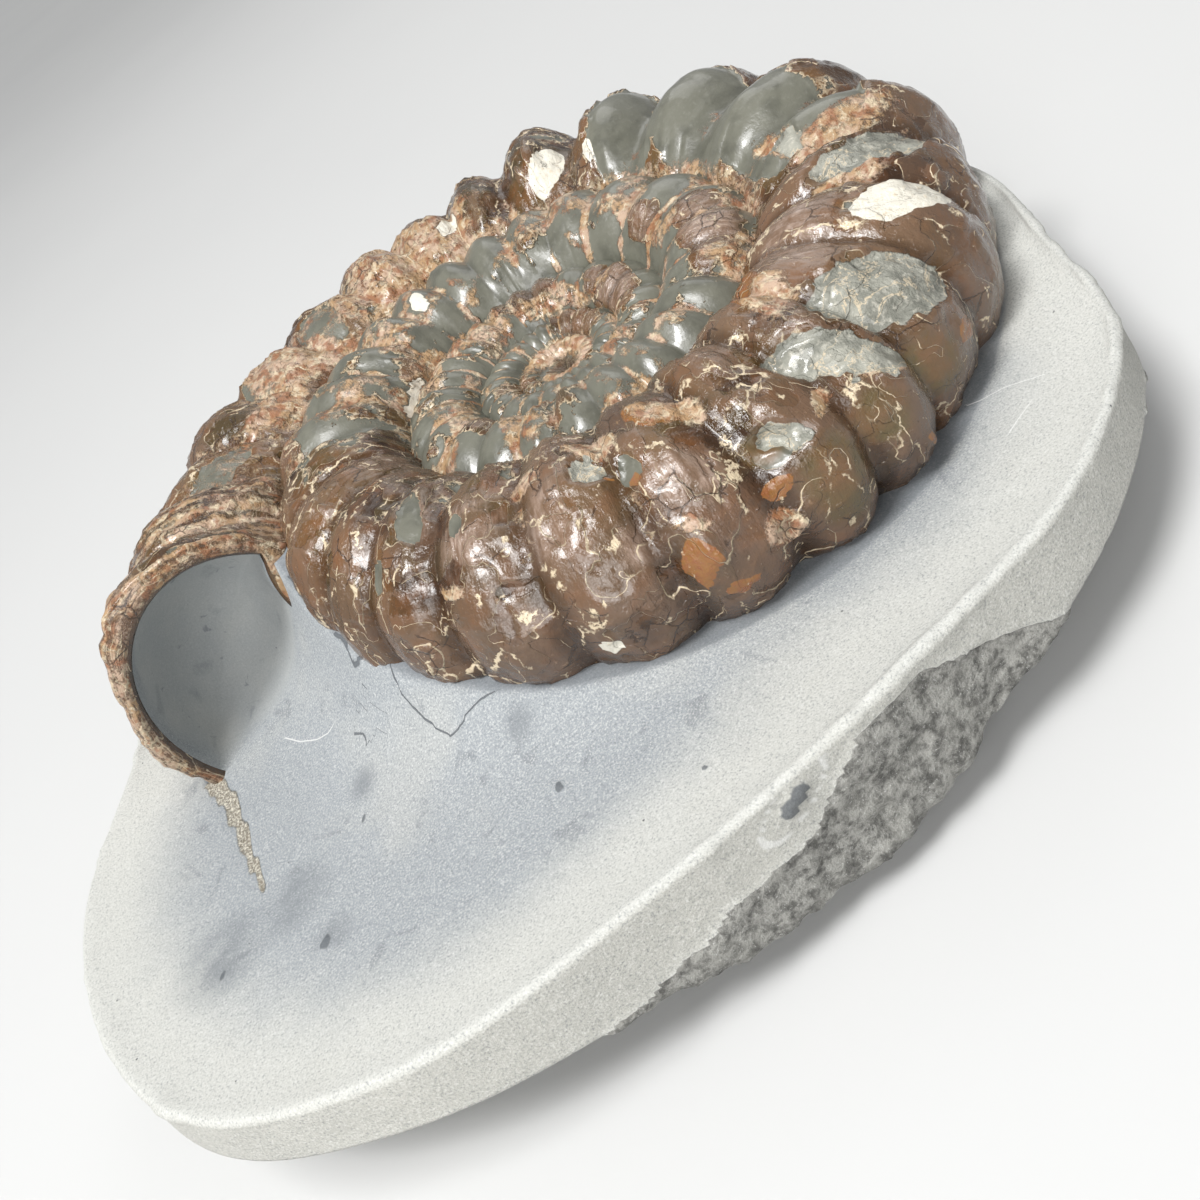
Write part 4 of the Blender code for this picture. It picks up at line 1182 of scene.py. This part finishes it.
def stone_finish(colours):
    """Fine-grained pale limestone, bluish in its dish, with grains and pits, and a dark rough rind. The
    stone has painted shade where it meets the shell, and its ground side is darker partly by painted shade.
    """
    f = Finish("limestone")
    wide = f.noise(14.0, 3.0)
    blotch = f.noise(4.5, 4.0)
    grain = f.noise(0.17, 3.0, 0.75)
    dust = f.noise(0.08, 2.0, 0.6)
    moat = f.stirred(f.share("moat"), blotch, 0.35)
    colour = f.mix(f.ramp(moat, 0.1, 0.95), colours.pale_stone, colours.blue_stone)
    colour = f.tint(colour, f.ramp(wide, 0.5, 0.7), 0.25, colours.cream_stone)
    blue_spots = f.ramp(f.noise(3.2, 3.0, 0.5, None, 0.8), 0.6, 0.72)
    blue_spots = f.math("MULTIPLY", blue_spots, f.ramp(moat, 0.3, 0.8))
    colour = f.tint(colour, blue_spots, 0.45, colours.slate_stone)
    ground = f.share("ground")
    # The ground side's grey-beige, darker than the top partly as painted shade.
    colour = f.tint(colour, ground, 0.8, f.mix(blotch, colours.side_stone, colours.cream_stone))
    grains = f.math("MULTIPLY", f.ramp(grain, 0.5, 0.68), f.blend(f.share("in_bowl"), 0.55, 0.18))
    colour = f.mix(grains, colour, colours.white_grain)
    dark_grains = f.math("MULTIPLY", f.ramp(grain, 0.48, 0.32), f.blend(f.share("in_bowl"), 0.6, 0.18))
    colour = f.mix(dark_grains, colour, colours.slate_stone)
    pit_place = f.borders(2.3, None, "F1")
    pits = f.math("MULTIPLY", f.ramp(pit_place, 0.05, 0.025), f.ramp(f.noise(4.0, 2.0), 0.52, 0.6))
    colour = f.tint(colour, pits, 0.8, colours.dark_pit)

    # Painted shade where the stone meets the shell.
    contact = f.ramp(f.stirred(f.share("contact"), blotch, 0.5), 0.45, 1.0)
    colour = f.tint(colour, contact, 0.7, colours.slate_stone)
    colour = f.tint(colour, f.share("blotches"), f.ramp(blotch, 0.3, 0.6, 0.2, 0.6), colours.slate_stone)
    bowl_marks = f.ramp(f.noise(1.6, 3.0, 0.5, None, 1.0), 0.66, 0.74)
    bowl_marks = f.math("MULTIPLY", bowl_marks, f.share("in_bowl"))
    colour = f.tint(colour, bowl_marks, 0.6, colours.slate_stone)
    colour = f.tint(colour, f.ramp(f.share("spots"), 0.3, 0.6), 0.8, colours.dark_pit)
    scar = f.share("scar")
    colour = f.tint(colour, f.ramp(scar, 0.3, 0.6), 0.85, colours.dark_pit)
    colour = f.tint(colour, f.ramp(scar, -0.15, -0.45), 0.6, colours.white_grain)
    line = f.math("ABSOLUTE", f.share("pale_lines"))
    colour = f.tint(colour, f.ramp(line, 1.2, 0.7), 0.75, colours.white_grain)
    crack = f.ramp(f.math("ABSOLUTE", f.share("cracks")), 1.3, 0.6)
    colour = f.tint(colour, crack, 0.85, colours.dark_pit)
    vein = f.ramp(f.stirred(f.share("vein"), grain, 0.6), 0.4, 0.6)
    sparkle = f.mix(f.ramp(f.noise(0.22, 3.0, 0.7), 0.45, 0.6), colours.vein_dark, colours.white_calcite_and_glint)
    colour = f.mix(vein, colour, sparkle)

    natural = f.share("natural")
    hack = f.noise(0.9, 5.0, 0.7)
    rind = f.mix(f.ramp(hack, 0.35, 0.62), colours.rind_dark, colours.rind_pale)
    rind = f.tint(rind, f.ramp(blotch, 0.5, 0.62), 0.35, colours.side_stone)
    rind = f.tint(rind, f.ramp(grain, 0.6, 0.7), 0.6, colours.white_grain)
    natural = f.ramp(f.stirred(natural, hack, 0.8), 0.4, 0.6)
    colour = f.mix(natural, colour, rind)
    f.feed(f.shader.inputs["Base Color"], colour)
    roughness = f.blend(natural, f.ramp(grain, 0.3, 0.7, 0.9, 0.72), f.ramp(grain, 0.4, 0.7, 0.75, 0.45))
    f.feed(f.shader.inputs["Roughness"], f.blend(vein, roughness, 0.3))
    f.shader.inputs["Specular IOR Level"].default_value = 0.35

    height = f.math("MULTIPLY", grain, f.blend(f.share("in_bowl"), 0.5, 0.2))
    height = f.raised(height, dust, 0.2)
    height = f.raised(height, natural, f.math("MULTIPLY", hack, 6.0))
    height = f.math("SUBTRACT", height, f.math("MULTIPLY", f.math("MAXIMUM", pits, crack), 1.5))
    height = f.raised(height, vein, f.math("MULTIPLY", f.noise(0.3, 3.0, 0.7), 5.0))
    height = f.raised(height, ground, f.math("MULTIPLY", f.noise(0.7, 4.0, 0.65), 1.6))
    f.feed(f.shader.inputs["Normal"], f.bump(height, 0.10, 0.8))
    return f.material


def floor_finish(colours):
    f = Finish("studio_floor")
    f.feed(f.shader.inputs["Base Color"], f.mix(f.noise(120.0, 3.0), colours.floor, colours.floor_shade))
    f.shader.inputs["Roughness"].default_value = 0.9
    return f.material


def colour_choice(name, description, default):
    kind = {"size": 3, "min": 0.0, "max": 1.0, "subtype": "COLOR"}
    return FloatVectorProperty(name=name, description=description, default=default, **kind)


class FossilSizes(bpy.types.PropertyGroup):
    rib_height: FloatProperty(
        name="Rib height",
        description="How far the ribs stand out at the mouth",
        default=0.95 * MM,
        unit="LENGTH",
    )


class FossilColours(bpy.types.PropertyGroup):
    # Also painted shade: this colour darkens the furrows and the low outer flank.
    dark_shell: colour_choice("Dark shell", "Shell in furrows and low on the flank", (0.036, 0.016, 0.006))
    brown_shell: colour_choice("Brown shell", "Most of the shell", (0.150, 0.073, 0.024))
    red_shell: colour_choice("Red shell", "Warm layer of the shell", (0.20, 0.075, 0.020))
    mauve_shell: colour_choice("Mauve shell", "Upper layer of the shell", (0.185, 0.115, 0.075))
    # Painted sheen: the pale colour of the highlight painted on the rib crests.
    painted_sheen_pale: colour_choice("Pale mauve", "Sheen on the rib crests", (0.38, 0.28, 0.22))
    grey_mould: colour_choice("Grey mould", "Stone fill where the shell is gone", (0.158, 0.156, 0.122))
    # Also painted shade: this colour darkens the mould in the furrows.
    dark_mould: colour_choice("Dark mould", "Stone fill in the furrows", (0.064, 0.064, 0.048))
    pale_mould: colour_choice("Pale mould", "Light grains in the fill", (0.30, 0.30, 0.255))
    olive: colour_choice("Olive", "Smooth see-through shell", (0.10, 0.075, 0.025))
    amber: colour_choice("Amber", "Orange spots", (0.29, 0.125, 0.028))
    rust: colour_choice("Rust", "Rusty spots", (0.28, 0.095, 0.028))
    tan_crust: colour_choice("Tan crust", "Thin crust of mud and shell", (0.45, 0.28, 0.14))
    pink_crust: colour_choice("Pink crust", "Pinkish crust", (0.54, 0.38, 0.27))
    cream_edge: colour_choice("Cream edge", "Cracks and flake edges", (0.66, 0.54, 0.37))
    # Also the colour of painted highlights on the ribs.
    white_calcite_and_glint: colour_choice("White calcite", "White mineral", (0.74, 0.70, 0.60))
    break_dark: colour_choice("Dark break", "Low grains of a broken place", (0.19, 0.19, 0.158))
    break_pale: colour_choice("Pale break", "High grains of a broken place", (0.36, 0.355, 0.30))
    pale_stone: colour_choice("Pale stone", "Stone near the rim", (0.54, 0.54, 0.505))
    cream_stone: colour_choice("Cream stone", "Creamy clouds in the stone", (0.53, 0.52, 0.47))
    blue_stone: colour_choice("Blue stone", "Stone in the dish", (0.315, 0.335, 0.348))
    slate_stone: colour_choice("Slate stone", "Blotches and dark grains", (0.155, 0.170, 0.185))
    # Partly painted shade: darker than the top.
    side_stone: colour_choice("Side stone", "Ground side", (0.34, 0.335, 0.305))
    white_grain: colour_choice("White grain", "Grains in the stone", (0.70, 0.70, 0.68))
    vein_dark: colour_choice("Vein shade", "Gaps in the calcite vein", (0.27, 0.24, 0.19))
    dark_pit: colour_choice("Dark pit", "Small pits", (0.10, 0.11, 0.12))
    rind_dark: colour_choice("Dark rind", "Low parts of the natural face", (0.095, 0.093, 0.085))
    rind_pale: colour_choice("Pale rind", "High parts of the natural face", (0.33, 0.325, 0.30))
    floor: colour_choice("Floor", "Studio floor", (0.62, 0.62, 0.61))
    floor_shade: colour_choice("Floor shade", "Soft clouds on the floor", (0.58, 0.58, 0.575))


def power_choice(name, description, default):
    return FloatProperty(name=name, description=description, default=default, unit="POWER")


class StageSettings(bpy.types.PropertyGroup):
    key_power: power_choice("Key light", "Soft light overhead", 1.2)
    fill_power: power_choice("Front light", "Low soft light in front", 1.25)
    back_power: power_choice("Back light", "Light over the far side", 0.4)
    even_strength: FloatProperty(
        name="Even light",
        description="Strength of the light on everything",
        default=1.65,
    )


def finish_piece(obj, material, node):
    """Gives the piece its material, puts it under the root and hides the imported part that it stands for.
    """
    obj.data.materials.clear()
    obj.data.materials.append(material)
    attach(obj, "root")
    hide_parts(node)


class FOSSIL_OT_shell(bpy.types.Operator):
    """Builds the fossil shell"""

    bl_idname = "fossil.shell"
    bl_label = "Shell"

    def execute(self, context):
        shell = ammonite_mesh(context.scene.fossil_sizes)
        finish_piece(shell, fossil_finish(context.scene.fossil_colours), "ammonite")
        return {"FINISHED"}


class FOSSIL_OT_stone(bpy.types.Operator):
    """Builds the stone block and the sediment in the mouth"""

    bl_idname = "fossil.stone"
    bl_label = "Stone"

    def execute(self, context):
        material = stone_finish(context.scene.fossil_colours)
        for piece in (stone_mesh(), sediment_mesh()):
            finish_piece(piece, material, "matrix")
        return {"FINISHED"}


def soft_light(name, power, size, place):
    data = bpy.data.lights.new(name, "AREA")
    data.energy = power
    data.size = size
    obj = bpy.data.objects.new(name, data)
    bpy.context.scene.collection.objects.link(obj)
    obj.location = place
    obj.rotation_euler = (Vector(LIGHT_TARGET) - Vector(place)).to_track_quat("-Z", "Y").to_euler()


class FOSSIL_OT_stage(bpy.types.Operator):
    """Sets the floor, the soft lights and the camera"""

    bl_idname = "fossil.stage"
    bl_label = "Stage"

    def execute(self, context):
        settings = context.scene.fossil_stage
        bpy.ops.object.select_all(action="DESELECT")
        bpy.ops.mesh.primitive_plane_add(size=FLOOR_SIZE, location=(0.0, 0.0, 0.0))
        floor = context.active_object
        floor.name = "studio_floor"
        floor.data.materials.append(floor_finish(context.scene.fossil_colours))
        soft_light("key_light", settings.key_power, *KEY_LIGHT)
        soft_light("front_light", settings.fill_power, *FRONT_LIGHT)
        soft_light("back_light", settings.back_power, *BACK_LIGHT)
        sun = bpy.data.lights.new("even_light", "SUN")
        sun.energy = settings.even_strength
        sun.angle = math.radians(EVEN_LIGHT_SPREAD)
        even = bpy.data.objects.new("even_light", sun)
        context.scene.collection.objects.link(even)
        even.rotation_euler = [math.radians(turn) for turn in EVEN_LIGHT_TURN]
        world = bpy.data.worlds.new("studio")
        world.use_nodes = True
        sky = world.node_tree.nodes["Background"]
        sky.inputs["Color"].default_value = SKY_COLOUR
        sky.inputs["Strength"].default_value = SKY_STRENGTH
        context.scene.world = world
        context.scene.view_settings.view_transform = "Standard"
        self.add_camera(context)
        return {"FINISHED"}

    def add_camera(self, context):
        """The camera looks down at the shell and is turned about its own axis, as the picture is."""
        tilt, roll = math.radians(CAMERA_TILT), math.radians(CAMERA_ROLL)
        back = Vector((0.0, -math.cos(tilt), math.sin(tilt)))
        level = Vector((1.0, 0.0, 0.0))
        up = Vector((0.0, math.sin(tilt), math.cos(tilt)))
        across = level * math.cos(roll) - up * math.sin(roll)
        upward = level * math.sin(roll) + up * math.cos(roll)
        data = bpy.data.cameras.new("camera")
        data.lens = CAMERA_LENS
        data.sensor_width = CAMERA_SENSOR
        data.clip_start = CAMERA_CLIP
        camera = bpy.data.objects.new("camera", data)
        context.scene.collection.objects.link(camera)
        place = Matrix((across, upward, back)).transposed().to_4x4()
        place.translation = Vector(CAMERA_PLACE)
        camera.matrix_world = place
        context.scene.camera = camera


class FOSSIL_PT_pieces(bpy.types.Panel):
    bl_label = "Fossil ammonite"
    bl_idname = "FOSSIL_PT_pieces"
    bl_space_type = "VIEW_3D"
    bl_region_type = "UI"
    bl_category = "Fossil"

    def draw(self, context):
        for step in STEPS:
            self.layout.operator(step.bl_idname)
        for group in (context.scene.fossil_sizes, context.scene.fossil_colours, context.scene.fossil_stage):
            for name in group.__annotations__:
                self.layout.prop(group, name)


STEPS = (FOSSIL_OT_shell, FOSSIL_OT_stone, FOSSIL_OT_stage)
GROUPS = {"fossil_sizes": FossilSizes, "fossil_colours": FossilColours, "fossil_stage": StageSettings}
CLASSES = (*GROUPS.values(), *STEPS, FOSSIL_PT_pieces)


def register():
    for item in CLASSES:
        bpy.utils.register_class(item)
    for name, group in GROUPS.items():
        setattr(bpy.types.Scene, name, PointerProperty(type=group))


def unregister():
    for name in GROUPS:
        delattr(bpy.types.Scene, name)
    for item in reversed(CLASSES):
        bpy.utils.unregister_class(item)


def main():
    register()
    bpy.ops.fossil.shell()
    bpy.ops.fossil.stone()
    bpy.ops.fossil.stage()
    bpy.context.view_layer.update()


if __name__ == "__main__":
    main()
